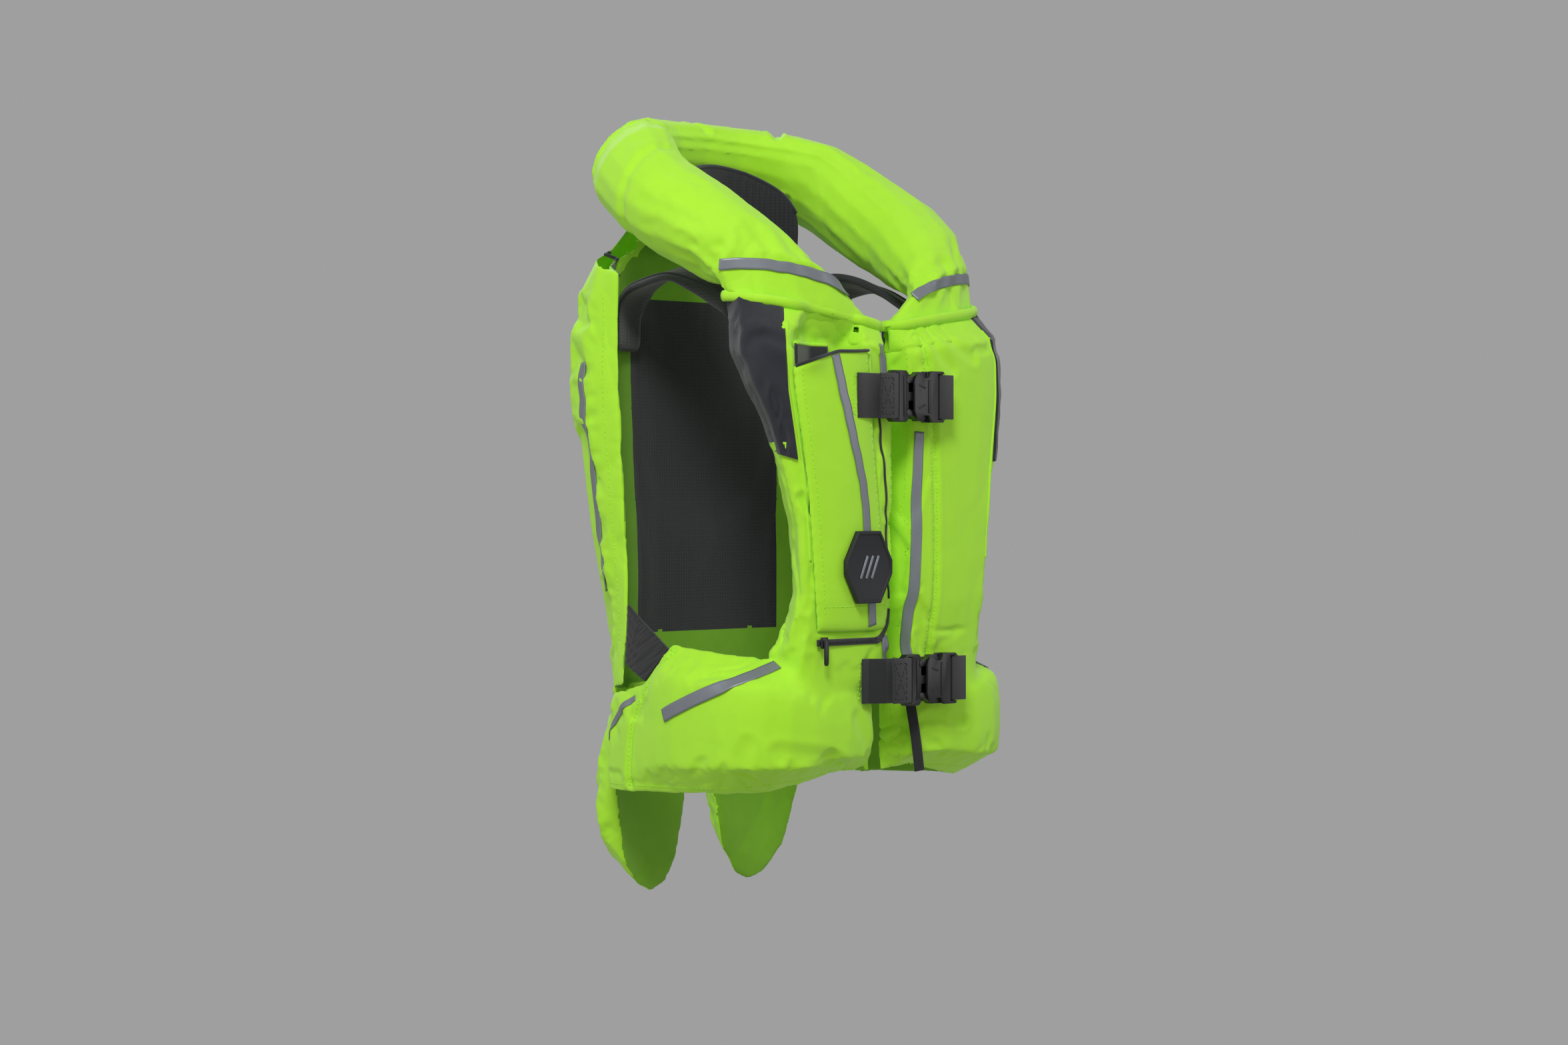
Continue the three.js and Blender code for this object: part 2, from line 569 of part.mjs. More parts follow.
// ---- zip under the pocket -------------------------------------------------------------------------
const zipEnd = ZIP.start + ZIP.length;
const zipGround = frontmost([fronts.right], [ZIP.start, zipEnd], [ZIP.z - ZIP.tall, ZIP.z + ZIP.tall]);
const zipY = zipGround - GAP - ZIP.thick / 2;
const zipMiddle = ZIP.start + ZIP.length / 2;
add('pocket_zip', 'black', box(ZIP.length, ZIP.thick, ZIP.tall, zipMiddle, zipY, ZIP.z));
const sliderY = zipY - ZIP.thick / 2 - GAP - ZIP.slider.y / 2;
const sliderX = ZIP.start + ZIP.slider.x / 2 + 2;
add('zip_slider', 'plastic', box(ZIP.slider.x, ZIP.slider.y, ZIP.slider.z, sliderX, sliderY, ZIP.z));

function pullerGeometry() {
  const { x, y, z } = ZIP.puller;
  const plate = shapeOf([[-x / 2, 0.5], [-x / 2, 2 - z], [1 - x / 2, -z], [x / 2 - 1, -z], [x / 2, 2 - z],
    [x / 2, 0.5]]);
  const pullerY = sliderY - ZIP.slider.y / 2 - GAP - y / 2;
  return slabXZ(plate, y, 0).translate(sliderX, pullerY, ZIP.z + 2);
}
add('zip_puller', 'plastic', pullerGeometry());

// ---- rubber badge on the pocket -------------------------------------------------------------------
function hexagon(inset) {
  const [h, w] = [BADGE.height / 2 - inset, BADGE.width / 2 - inset];
  const [flat, side] = [BADGE.flat / 2 - inset * 0.4, BADGE.side / 2 - inset * 0.1];
  return shapeOf([[flat, h], [w, side], [w, -side], [flat, -h], [-flat, -h], [-w, -side], [-w, side],
    [-flat, h]]);
}
const badgeSpan = (middle, size) => [middle - size / 2, middle + size / 2];
const badgeGround = frontmost([pocket], badgeSpan(BADGE.x, BADGE.width), badgeSpan(BADGE.z, BADGE.height));
const badgeY = badgeGround - SEAT - STRIP - GAP - BADGE.thick / 2;
const badge = solid(slabXZ(hexagon(0), BADGE.thick, badgeY));
const recess = solid(slabXZ(hexagon(BADGE.rim), 2 * BADGE.recess, badgeY - BADGE.thick / 2));
add('hex_badge', 'rubber', geometryOf(badge.subtract(recess)).translate(BADGE.x, 0, BADGE.z));

// ---- side release buckles -------------------------------------------------------------------------
// One buckle in its own frame: X along the strap, Z across it, with the plug's end face at X = 0.
const half = BUCKLE.height / 2;
const slotHalf = STRAP.width / 2 + STRAP.slack;
const THROUGH = 40;                   // a cutter this long goes right through a buckle

function plugGeometry() {
  const { plugLength: long, tongue, corner, slot } = BUCKLE;
  const tip = BUCKLE.prongLength - 1;
  const outline = shapeOf([[0, tongue], [0, half - corner], [-corner, half], [corner - long, half],
    [-long, half - corner], [-long, corner - half], [corner - long, -half], [-corner, -half],
    [0, corner - half], [0, -tongue], [tip - 2, 1 - tongue], [tip, 0], [tip - 2, tongue - 1]]);
  let body = solid(slabXZ(outline, BUCKLE.thick, 0));
  body = body.subtract(solid(box(slot, THROUGH, 2 * slotHalf, 1.5 * slot - long, 0, 0)));
  for (const end of [1, -1]) {
    const bore = BUCKLE.pivotRadius + GAP;
    const seat = new THREE.CylinderGeometry(bore, bore, THROUGH, 20);
    body = body.subtract(solid(seat.translate(BUCKLE.root, 0, end * BUCKLE.pivot)));
  }
  return geometryOf(body);
}

// The arm that springs out beside the plug, with its root on the pivot and a shoulder that latches.
function prongGeometry(end) {
  const arm = [[0, 2.6], [7, 3.6], [12, 7.6], [19, 7.6], [24, 3.4], [BUCKLE.prongLength, 0.4],
    [BUCKLE.prongLength - 1, -1.8], [8, -2.2], [0, -2.6]];
  const outline = shapeOf(arm.map(([x, z]) => [x + BUCKLE.root, end * (BUCKLE.pivot + z)]));
  const root = new THREE.CylinderGeometry(BUCKLE.pivotRadius, BUCKLE.pivotRadius, BUCKLE.thick, 20);
  const bar = solid(slabXZ(outline, BUCKLE.thick, 0));
  return geometryOf(bar.add(solid(root.translate(BUCKLE.root, 0, end * BUCKLE.pivot))));
}

function socketGeometry() {
  const [near, far] = [BUCKLE.mouth, BUCKLE.mouth + BUCKLE.socketLength];
  const { thick, fit, wall, slot } = BUCKLE;
  const lower = [[near, 10 - half], [near + 4, 3 - half], [near + 9, 3 - half], [near + 12, 6 - half],
    [near + 19, 6 - half], [near + 22, -half], [far - 3, -half], [far, 3 - half]];
  const outline = shapeOf([...lower, ...lower.map(([x, z]) => [x, -z]).reverse()]);
  const cavityEnd = BUCKLE.prongLength + BUCKLE.tipRoom;
  let body = solid(slabXZ(outline, thick + 2 * (fit + wall), 0));
  const cavity = box(THROUGH, thick + 2 * fit, 2 * THROUGH, cavityEnd - THROUGH / 2, 0, 0);
  body = body.subtract(solid(cavity));
  body = body.subtract(solid(box(slot, THROUGH, 2 * slotHalf, far - 1.5 * slot, 0, 0)));
  for (const side of [1, -1]) {
    const strapRoom = box(4 * slot, 2 * slot, 2 * slotHalf, far, side * (thick / 2 + slot), 0);
    body = body.subtract(solid(strapRoom));
  }
  return geometryOf(body);
}

// Webbing folded round a bar: a U seen from above with two tails, the rear one sewn down at anchor.
function foldedStrap(nose, away, tail, anchor) {
  const inner = BUCKLE.thick / 2 + GAP;
  const outer = inner + STRAP.thick;
  const fold = nose - away * STRAP.thick;
  const end = nose + away * tail;
  const points = [[end, -outer], [fold, -outer], [fold, outer]];
  if (anchor) {
    const [last, rear] = [anchor.x + away * STRAP.stitched, anchor.y + STRAP.thick];
    points.push([end, outer], [anchor.x, rear], [last, rear], [last, anchor.y], [anchor.x, anchor.y]);
  } else {
    points.push([end, outer]);
  }
  points.push([end, inner], [nose, inner], [nose, -inner], [end, -inner]);
  return slabXY(shapeOf(points), STRAP.width, 0);
}

for (const buckle of BUCKLES) {
  const put = (piece, colour, geometry) =>
    add(`${buckle.name}_${piece}`, colour, geometry.translate(buckle.x, BUCKLE_Y, buckle.z));
  put('plug', 'plastic', plugGeometry());
  put('prong_top', 'plastic', prongGeometry(1));
  put('prong_bottom', 'plastic', prongGeometry(-1));
  put('socket', 'plastic', socketGeometry());
  const barNose = BUCKLE.slot + GAP - BUCKLE.plugLength;
  const foldEnd = buckle.x + barNose - STRAP.sewnTail;
  const height = [buckle.z - STRAP.width / 2, buckle.z + STRAP.width / 2];
  const ground = frontmost([fronts.right, wraps.right, pocket], [foldEnd - STRAP.sewnTail, foldEnd], height);
  const sewn = { x: barNose - 34, y: ground - SEAT - STRAP.thick - BUCKLE_Y };
  put('webbing_right', 'webbing', foldedStrap(barNose, -1, STRAP.sewnTail, sewn));
  put('webbing_left', 'webbing', foldedStrap(BUCKLE.socketLength - GAP, 1, STRAP.freeTail, null));
}

// ---- reflective tape ------------------------------------------------------------------------------
// Routes are column and row places on each panel's own grid, as a fraction b of the tape's length.
const BEHIND = new THREE.Vector3(0, 0, -200);
const wrapRoute = (b) => {
  const column = mix(11.4, 6.8, b);
  return [[column, mix(1.3, 0.7, b)], [column, mix(1.75, 1.1, b)]];
};
for (const [side, panel] of Object.entries(wraps)) {
  add(`wrap_strip_${side}`, 'tape', ribbon(panel.place, wrapRoute, 12, STRIP, BEHIND, TAPE_SEAT));
}
const pocketRoute = (b) => {
  const [lean, row] = [Math.min(1, 2 * b), mix(0.1, 8.8, b)];
  return [[mix(2.5, 1.6, lean), row], [mix(2.05, 1.15, lean), row]];
};
add('pocket_strip', 'tape', ribbon(pocket.place, pocketRoute, 30, STRIP, BEHIND, SEAT));
const downRoute = (column, width, from, to) => (b) => {
  const row = mix(from, to, b);
  return [[column, row], [column + width, row]];
};
const placketRoute = downRoute(1.15, 0.6, 3.6, 11.2);
add('placket_strip_left', 'tape', ribbon(fronts.left.place, placketRoute, 28, STRIP, BEHIND, SEAT));
const backStrip = (column) => ribbon(back.place, downRoute(column, 0.4, 2.5, 8.5), 20, STRIP, BEHIND, SEAT);
add('back_strip_right', 'tape', backStrip(1.1));
add('back_strip_left', 'tape', backStrip(back.columns - 1.5));
const collarPlace = (k, s) => collarPoint(0)(k, (s + collarSides) % collarSides);
const collarRoute = (from, to) => (b) => [[from, mix(0.7, 6.2, b)], [to, mix(0.7, 6.2, b)]];
const neck = new THREE.Vector3(0, 0, -60);
const collarStrip = (from, to) => ribbon(collarPlace, collarRoute(from, to), 22, STRIP, neck, TAPE_SEAT);
add('collar_strip_right', 'tape', collarStrip(0.62, 0.88));
add('collar_strip_left', 'tape', collarStrip(COLLAR.steps - 0.88, COLLAR.steps - 0.62));

export default vest;
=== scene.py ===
"""Looks for the inflated airbag vest: puffed neon chambers, black trims, straps, tape and stitching."""
import json
import math

import bmesh
import bpy
import numpy as np
from mathutils import Matrix, Vector, noise
from mathutils.bvhtree import BVHTree
from mathutils.kdtree import KDTree


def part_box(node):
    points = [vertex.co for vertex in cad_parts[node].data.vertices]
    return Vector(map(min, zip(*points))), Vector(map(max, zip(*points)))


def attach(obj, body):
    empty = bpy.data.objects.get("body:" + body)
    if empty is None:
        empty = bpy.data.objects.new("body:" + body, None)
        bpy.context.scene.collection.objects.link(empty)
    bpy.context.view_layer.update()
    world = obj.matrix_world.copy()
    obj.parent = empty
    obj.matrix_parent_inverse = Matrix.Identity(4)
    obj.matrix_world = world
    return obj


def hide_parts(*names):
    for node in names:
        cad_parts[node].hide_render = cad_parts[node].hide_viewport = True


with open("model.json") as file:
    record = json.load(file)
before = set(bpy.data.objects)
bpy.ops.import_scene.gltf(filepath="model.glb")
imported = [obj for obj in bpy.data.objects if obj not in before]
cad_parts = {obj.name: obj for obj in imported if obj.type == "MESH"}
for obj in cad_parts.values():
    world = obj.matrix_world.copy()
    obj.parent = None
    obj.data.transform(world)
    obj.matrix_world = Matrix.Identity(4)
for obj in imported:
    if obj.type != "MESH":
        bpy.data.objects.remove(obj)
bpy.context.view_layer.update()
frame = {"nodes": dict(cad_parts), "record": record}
nodes = frame["nodes"]
VEST = "vest"
MM = 0.001
SIDES = (("right", 1), ("left", -1))
BUCKLES = (("upper", -7 * MM, -0.124), ("lower", 10 * MM, -0.378))

# ---- camera and light ----
CAMERA_AZIMUTH = math.radians(-45)
CAMERA_HEIGHT = 0.03
CAMERA_DISTANCE = 3.0
TARGET = Vector((0, 0, -0.238))


def add_camera():
    data = bpy.data.cameras.new("camera")
    data.lens = 74
    data.sensor_width = 36
    camera = bpy.data.objects.new("camera", data)
    bpy.context.scene.collection.objects.link(camera)
    away = Vector((math.sin(CAMERA_AZIMUTH), -math.cos(CAMERA_AZIMUTH), 0))
    camera.location = TARGET + away * CAMERA_DISTANCE + Vector((0, 0, CAMERA_HEIGHT))
    camera.rotation_euler = (TARGET - camera.location).to_track_quat("-Z", "Y").to_euler()
    bpy.context.scene.camera = camera


def add_light(name, place, size, power, colour=(1, 1, 1)):
    data = bpy.data.lights.new(name, "AREA")
    data.shape = "RECTANGLE"
    data.size, data.size_y = size
    data.energy = power
    data.color = colour
    light = bpy.data.objects.new(name, data)
    bpy.context.scene.collection.objects.link(light)
    light.location = place
    light.rotation_euler = (TARGET - light.location).to_track_quat("-Z", "Y").to_euler()


def add_studio():
    world = bpy.data.worlds.new("studio")
    bpy.context.scene.world = world
    world.use_nodes = True
    background = world.node_tree.nodes["Background"]
    background.inputs["Color"].default_value = (0.385, 0.385, 0.385, 1)
    background.inputs["Strength"].default_value = 0.9
    add_light("key", (-2.3, -1.9, 2.3), (1.0, 1.0), 84)
    add_light("side", (-2.8, 0.6, 0.5), (0.8, 1.6), 9)
    add_light("fill", (1.9, -2.6, 0.3), (1.0, 1.6), 8)
    add_light("rear", (1.2, 2.6, 1.6), (1.6, 1.2), 22)
    bpy.context.scene.view_settings.view_transform = "Standard"


# ---- materials ----
def plain_material(name, colour, roughness, metallic=0.0):
    material = bpy.data.materials.new(name)
    material.use_nodes = True
    shader = material.node_tree.nodes["Principled BSDF"]
    shader.inputs["Base Color"].default_value = (*colour, 1)
    shader.inputs["Roughness"].default_value = roughness
    shader.inputs["Metallic"].default_value = metallic
    return material


class Nodes:
    """Short hand for adding and linking shader nodes."""

    def __init__(self, material):
        self.tree = material.node_tree
        self.shader = self.tree.nodes["Principled BSDF"]

    def add(self, kind, **values):
        node = self.tree.nodes.new(kind)
        for key, value in values.items():
            if key in node.inputs:
                node.inputs[key].default_value = value
            else:
                setattr(node, key, value)
        return node

    def set(self, **values):
        """Sets the main shader's sockets; an underscore stands for a space."""
        for key, value in values.items():
            self.shader.inputs[key.replace("_", " ")].default_value = value

    def link(self, source, target):
        self.tree.links.new(source, target)

    def coordinates(self, rotation=(0, 0, 0), scale=(1, 1, 1)):
        place = self.add("ShaderNodeTexCoord")
        mapping = self.add("ShaderNodeMapping", Rotation=rotation, Scale=scale)
        self.link(place.outputs["Object"], mapping.inputs["Vector"])
        return mapping.outputs["Vector"]

    def mix_colour(self, factor, low, high):
        ramp = self.add("ShaderNodeValToRGB")
        ramp.color_ramp.elements[0].color = (*low, 1)
        ramp.color_ramp.elements[1].color = (*high, 1)
        self.link(factor, ramp.inputs["Fac"])
        self.link(ramp.outputs["Color"], self.shader.inputs["Base Color"])
        return ramp

    def bump(self, height, distance, strength=1.0, below=None):
        node = self.add("ShaderNodeBump", Strength=strength, Distance=distance)
        self.link(height, node.inputs["Height"])
        if below is not None:
            self.link(below, node.inputs["Normal"])
        self.link(node.outputs["Normal"], self.shader.inputs["Normal"])
        return node.outputs["Normal"]

    def noise(self, vector, scale, detail=3.0, roughness=0.5):
        node = self.add("ShaderNodeTexNoise", Scale=scale, Detail=detail, Roughness=roughness)
        self.link(vector, node.inputs["Vector"])
        return node.outputs["Fac"]

    def wave(self, vector, scale, distortion=0.0):
        node = self.add("ShaderNodeTexWave", wave_type="BANDS", bands_direction="X", Scale=scale,
                        Distortion=distortion)
        self.link(vector, node.inputs["Vector"])
        return node.outputs["Fac"]

    def math(self, operation, a, b):
        node = self.add("ShaderNodeMath", operation=operation)
        for socket, value in zip(node.inputs, (a, b)):
            if isinstance(value, (int, float)):
                socket.default_value = value
            else:
                self.link(value, socket)
        return node.outputs["Value"]


def twill(name, low, high, roughness, pitch, depth, painted_glow=0.0, sheen=0.2):
    """A woven cloth: two sets of diagonal ribs, thread-scale mottling and a little colour variation. The
    colour is partly random mottling and partly painted shade that follows the ribs' height. An optional
    emission gives the cloth a painted glow.
    """
    material = plain_material(name, high, roughness)
    n = Nodes(material)
    ribs = n.wave(n.coordinates((0, math.radians(38), math.radians(40))), 1 / pitch)
    cross = n.wave(n.coordinates((0, math.radians(-52), math.radians(40))), 1 / (pitch * 1.7))
    threads = n.math("ADD", n.math("MULTIPLY", ribs, 0.7), n.math("MULTIPLY", cross, 0.3))
    mottle = n.noise(n.coordinates(), 55, 4.0)
    # the colour: random mottling, plus painted shade in the grooves between the ribs
    mottle_and_rib_shade = n.math("ADD", n.math("MULTIPLY", threads, 0.35), n.math("MULTIPLY", mottle, 0.65))
    n.mix_colour(mottle_and_rib_shade, low, high)
    soft = n.bump(n.noise(n.coordinates(), 22, 2.0), 1.2 * MM, 0.35)
    n.bump(threads, depth, 0.8, soft)
    n.set(Sheen_Weight=sheen, Sheen_Roughness=0.5, Specular_IOR_Level=0.3)
    # an optional painted glow: the cloth gives off light in its own colour, though it is no lamp
    if painted_glow:
        n.set(Emission_Color=(*high, 1), Emission_Strength=painted_glow)
    return material


def knit(name, colour, pitch, depth):
    """A spacer mesh with small round holes. Its colour is painted shade, darker in the holes, and painted
    light, lighter on the strands between them.
    """
    material = plain_material(name, colour, 0.9)
    n = Nodes(material)
    cells = n.add("ShaderNodeTexVoronoi", Scale=1 / pitch, Randomness=0.15)
    n.link(n.coordinates(), cells.inputs["Vector"])
    # painted shade in the holes and painted light on the strands, from the same cells that make the bump
    n.mix_colour(cells.outputs["Distance"], tuple(c * 0.35 for c in colour), tuple(c * 1.6 for c in colour))
    n.bump(cells.outputs["Distance"], depth, 0.8)
    n.set(Sheen_Weight=0.3)
    return material


def ribbed(name, colour, pitch, rotation):
    """Webbing: ribs along the strap with a cross weave. The colour follows the ribs' height, as painted shade
    in the grooves and painted highlight on the tops.
    """
    material = plain_material(name, colour, 0.75)
    n = Nodes(material)
    ribs = n.wave(n.coordinates(rotation), 1 / pitch)
    weave = n.wave(n.coordinates((0, math.radians(90), 0)), 1 / (pitch * 0.6))
    height = n.math("ADD", n.math("MULTIPLY", ribs, 0.7), n.math("MULTIPLY", weave, 0.3))
    # the colour follows the rib height: painted shade in the grooves, painted highlight on the tops
    n.mix_colour(height, tuple(c * 0.5 for c in colour), tuple(c * 2.2 for c in colour))
    n.bump(height, 0.35 * MM, 0.8)
    n.set(Sheen_Weight=0.25)
    return material


def moulded(name, colour, roughness, grain):
    """Moulded plastic or rubber with a fine grain."""
    material = plain_material(name, colour, roughness)
    n = Nodes(material)
    speck = n.noise(n.coordinates(), grain, 5.0, 0.6)
    n.mix_colour(speck, tuple(c * 0.8 for c in colour), tuple(c * 1.3 for c in colour))
    n.bump(speck, 0.08 * MM, 0.4)
    return material


def tape(name, colour):
    """Retro-reflective tape: a grey sheen full of tiny beads."""
    material = plain_material(name, colour, 0.4, 0.3)
    n = Nodes(material)
    beads = n.noise(n.coordinates(), 2600, 2.0)
    n.mix_colour(beads, tuple(c * 0.85 for c in colour), tuple(c * 1.15 for c in colour))
    n.bump(beads, 0.05 * MM, 0.4)
    return material


NEON_LOW, NEON_HIGH = (0.40, 0.86, 0.02), (0.49, 0.96, 0.035)
# painted shade: the neon twill's colour as it looks in shade, used on the chambers' inside
PAINTED_SHADE_LOW, PAINTED_SHADE_HIGH = (0.16, 0.42, 0.01), (0.24, 0.55, 0.015)
BLACK_LOW, BLACK_HIGH = (0.010, 0.011, 0.016), (0.028, 0.030, 0.040)
materials = {
    # the neon twill gets a painted glow of strength 0.03
    "neon_twill": twill("neon_twill_cloth", NEON_LOW, NEON_HIGH, 0.62, 1.3 * MM, 0.12 * MM, 0.03),
    # the inside green: the neon twill darkened as painted shade
    "shade_twill": twill("painted_shade_twill_cloth", PAINTED_SHADE_LOW, PAINTED_SHADE_HIGH, 0.75, 1.3 * MM, 0.1 * MM),
    "softshell": twill("softshell_cloth", BLACK_LOW, BLACK_HIGH, 0.7, 1.6 * MM, 0.15 * MM, sheen=0.35),
    "mesh_lining": knit("mesh_lining_cloth", (0.02, 0.02, 0.024), 3.2 * MM, 0.5 * MM),
    "padded_mesh": knit("padded_mesh_cloth", (0.016, 0.016, 0.02), 3.0 * MM, 0.5 * MM),
    "webbing": ribbed("webbing_weave", (0.012, 0.012, 0.014), 2.2 * MM, (0, 0, 0)),
    "buckle_plastic": moulded("buckle_moulding", (0.012, 0.012, 0.014), 0.32, 900),
    "inflator_plastic": moulded("inflator_moulding", (0.03, 0.03, 0.033), 0.5, 900),
    "gas_steel": plain_material("gas_cylinder_steel", (0.55, 0.56, 0.58), 0.28, 1.0),
    "badge_rubber": moulded("badge_moulding", (0.014, 0.015, 0.018), 0.55, 1400),
    "reflective_tape": tape("reflective_tape_film", (0.24, 0.26, 0.29)),
    "zip_tape": ribbed("zip_tape_weave", (0.010, 0.010, 0.012), 1.6 * MM, (0, 0, 0)),
    "air_film": moulded("air_film_coat", (0.05, 0.055, 0.06), 0.6, 500),
}
slots = {row["node"]: row["material_slot"] for row in frame["record"]["subparts"]}


# ---- mesh helpers ----
def new_object(name, mesh):
    piece = bpy.data.objects.new(name, mesh)
    bpy.context.scene.collection.objects.link(piece)
    return piece


def mesh_from(name, points, faces):
    mesh = bpy.data.meshes.new(name)
    mesh.from_pydata([tuple(p) for p in points], [], faces)
    mesh.validate()
    mesh.update()
    return new_object(name, mesh)


def apply_modifiers(piece):
    """Turns the modified shape into the piece's own mesh."""
    graph = bpy.context.evaluated_depsgraph_get()
    shaped = bpy.data.meshes.new_from_object(piece.evaluated_get(graph))
    piece.modifiers.clear()
    piece.data = shaped
    return piece


def modify(piece, kind, **values):
    """Shapes the piece's own mesh with one modifier."""
    modifier = piece.modifiers.new(kind.lower(), kind)
    for key, value in values.items():
        setattr(modifier, key, value)
    return apply_modifiers(piece)


def coordinates(piece):
    out = np.empty(len(piece.data.vertices) * 3)
    piece.data.vertices.foreach_get("co", out)
    return out.reshape(-1, 3)


def normals(piece):
    out = np.empty(len(piece.data.vertices) * 3)
    piece.data.vertices.foreach_get("normal", out)
    return out.reshape(-1, 3)


def set_coordinates(piece, points):
    piece.data.vertices.foreach_set("co", np.asarray(points, dtype=np.float32).ravel())
    piece.data.update()


def smooth_shade(piece):
    piece.data.polygons.foreach_set("use_smooth", [True] * len(piece.data.polygons))


def tree_of(piece):
    mesh = piece.data
    places = [v.co.copy() for v in mesh.vertices]
    return BVHTree.FromPolygons(places, [tuple(p.vertices) for p in mesh.polygons])


def point_tree(places):
    tree = KDTree(len(places))
    for index, place in enumerate(places):
        tree.insert(place, index)
    tree.balance()
    return tree


def welded(*meshes):
    """An editable copy of one or more meshes, with the corners that meet made one."""
    build = bmesh.new()
    for mesh in meshes:
        build.from_mesh(mesh)
    bmesh.ops.remove_doubles(build, verts=build.verts, dist=1e-5)
    return build


def joined_copy(name, names):
    """One new mesh holding copies of several CAD nodes."""
    build = welded(*(nodes[node].data for node in names))
    mesh = bpy.data.meshes.new(name)
    build.to_mesh(mesh)
    build.free()
    return new_object(name, mesh)


def finish_piece(piece, slot, body, replaced=()):
    piece.data.materials.clear()
    piece.data.materials.append(materials[slot])
    smooth_shade(piece)
    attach(piece, body)
    if replaced:
        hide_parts(*replaced)
    return piece


# ---- places on the vest: angle from the front centre towards the wearer's right, and height ----
def outward(angle):
    return Vector((-math.sin(math.radians(angle)), -math.cos(math.radians(angle)), 0))


def spot(tree, angle, z, reach=0.3):
    """The outermost point of a surface at an angle and height, with its normal."""
    way = outward(angle)
    hit, normal, _, _ = tree.ray_cast(Vector((0, 0, z)) + way * reach, -way, reach)
    if hit is not None and normal.dot(way) < 0:
        normal = -normal
    return hit, normal


def route_on(tree, places, step=2.5 * MM):
    """Points along a line of (angle, z) places, laid on a surface."""
    points = []
    for (a0, z0), (a1, z1) in zip(places, places[1:]):
        length = math.hypot(math.radians(a1 - a0) * 0.15, z1 - z0)
        count = max(1, round(length / step))
        for k in range(count + (places[-1] == (a1, z1))):
            t = k / count
            hit, normal = spot(tree, a0 + (a1 - a0) * t, z0 + (z1 - z0) * t)
            if hit is not None:
                points.append((hit, normal))
    return points


def curved(places, count=24):
    """A smooth line through a few places."""
    out = []
    for k in range(len(places) - 1):
        p0, p1 = places[max(k - 1, 0)], places[k]
        p2, p3 = places[k + 1], places[min(k + 2, len(places) - 1)]
        for n in range(count):
            t = n / count
            out.append(tuple(
                0.5 * (2 * b + (c - a) * t + (2 * a - 5 * b + 4 * c - d) * t * t
                       + (3 * b - a - 3 * c + d) * t ** 3)
                for a, b, c, d in zip(p0, p1, p2, p3)))
    out.append(tuple(places[-1]))
    return out


# ---- inflated chambers ----
FINE, COARSE = 2.5 * MM, 5.2 * MM     # mesh sizes of the visible skin and of the simulated one
CLOTH = {"quality": 5, "mass": 0.12, "tension_stiffness": 25, "compression_stiffness": 25,
         "shear_stiffness": 10, "bending_stiffness": 0.08, "air_damping": 1.5, "use_pressure": True,
         "vertex_group_mass": "pin"}
CLOTH_FRAMES = 20
SKIN_DRIFT = 1.5 * MM                 # how far the simulation may move the skin sideways
LINING_REACH = 3.5 * MM               # the lining's cloth shows on faces this near to the CAD lining
INSERT_PAINT = 3                      # the softshell's place among a front chamber's materials


def remesh(piece, size, grow):
    """Fuses the layers, grown first so that the thin seam edges stay whole."""
    modify(piece, "DISPLACE", strength=grow, mid_level=0)
    modify(piece, "REMESH", mode="VOXEL", voxel_size=size)


def ease(piece, rounds, factor=0.5):
    modify(piece, "SMOOTH", iterations=rounds, factor=factor)


def distance_to(node, points):
    tree = tree_of(nodes[node])
    return np.array([tree.find_nearest(Vector(p))[3] for p in points])


def billow(rest, bladders, pressure, slack, cap, seam, held_inside):
    """Simulates a coarse copy: seams stay, the rest fills and puckers. Gives its points and their moves."""
    coarse = new_object("billow", rest.data.copy())
    remesh(coarse, COARSE, 2.6 * MM)
    ease(coarse, 3)
    points = coordinates(coarse)
    radial = points * [1, 1, 0]
    radial /= np.linalg.norm(radial, axis=1, keepdims=True) + 1e-9
    gap = np.min([distance_to(bladder, points) for bladder in bladders], axis=0)
    pin = np.clip((gap - seam * 0.6) / (seam * 0.4), 0, 1)
    if held_inside:
        pin[(normals(coarse) * radial).sum(1) < -0.25] = 1
    group = coarse.vertex_groups.new(name="pin")
    for index, weight in enumerate(pin):
        group.add([index], float(weight), "REPLACE")
    cloth = coarse.modifiers.new("cloth", "CLOTH")
    settings = cloth.settings
    for key, value in {**CLOTH, "uniform_pressure_force": pressure, "shrink_min": -slack}.items():
        setattr(settings, key, value)
    settings.effector_weights.gravity = 0
    cloth.point_cache.frame_start = 1
    cloth.point_cache.frame_end = CLOTH_FRAMES
    for step in range(1, CLOTH_FRAMES + 1):
        bpy.context.scene.frame_set(step)
    apply_modifiers(coarse)
    bpy.context.scene.frame_set(1)
    moved = coordinates(coarse) - points
    length = np.linalg.norm(moved, axis=1, keepdims=True)
    moved *= np.minimum(1, cap / np.maximum(length, 1e-9))
    bpy.data.objects.remove(coarse)
    return points, moved


def carry(points, rest, moved):
    """Moves points with the nearest simulated ones."""
    tree = point_tree(rest)
    out = points.copy()
    for index, point in enumerate(points):
        near = tree.find_n(point, 5)
        weights = np.array([1 / (d * d + 1e-7) for _, _, d in near])
        out[index] += (moved[[k for _, k, _ in near]] * weights[:, None]).sum(0) / weights.sum()
    return out


def crumple(points, directions, depth, scale, seed, weights):
    """Shallow creases: ridged noise along the surface normal, one way only, so nothing grows outward."""
    offset = Vector((seed * 7.3, seed * 3.1, seed * 5.7))
    out = points.copy()
    for index, point in enumerate(points):
        ridge = 1 - abs(noise.noise(Vector(point * scale) + offset)) * 3
        if ridge > 0:
            out[index] -= directions[index] * depth * weights[index] * ridge * ridge
    return out


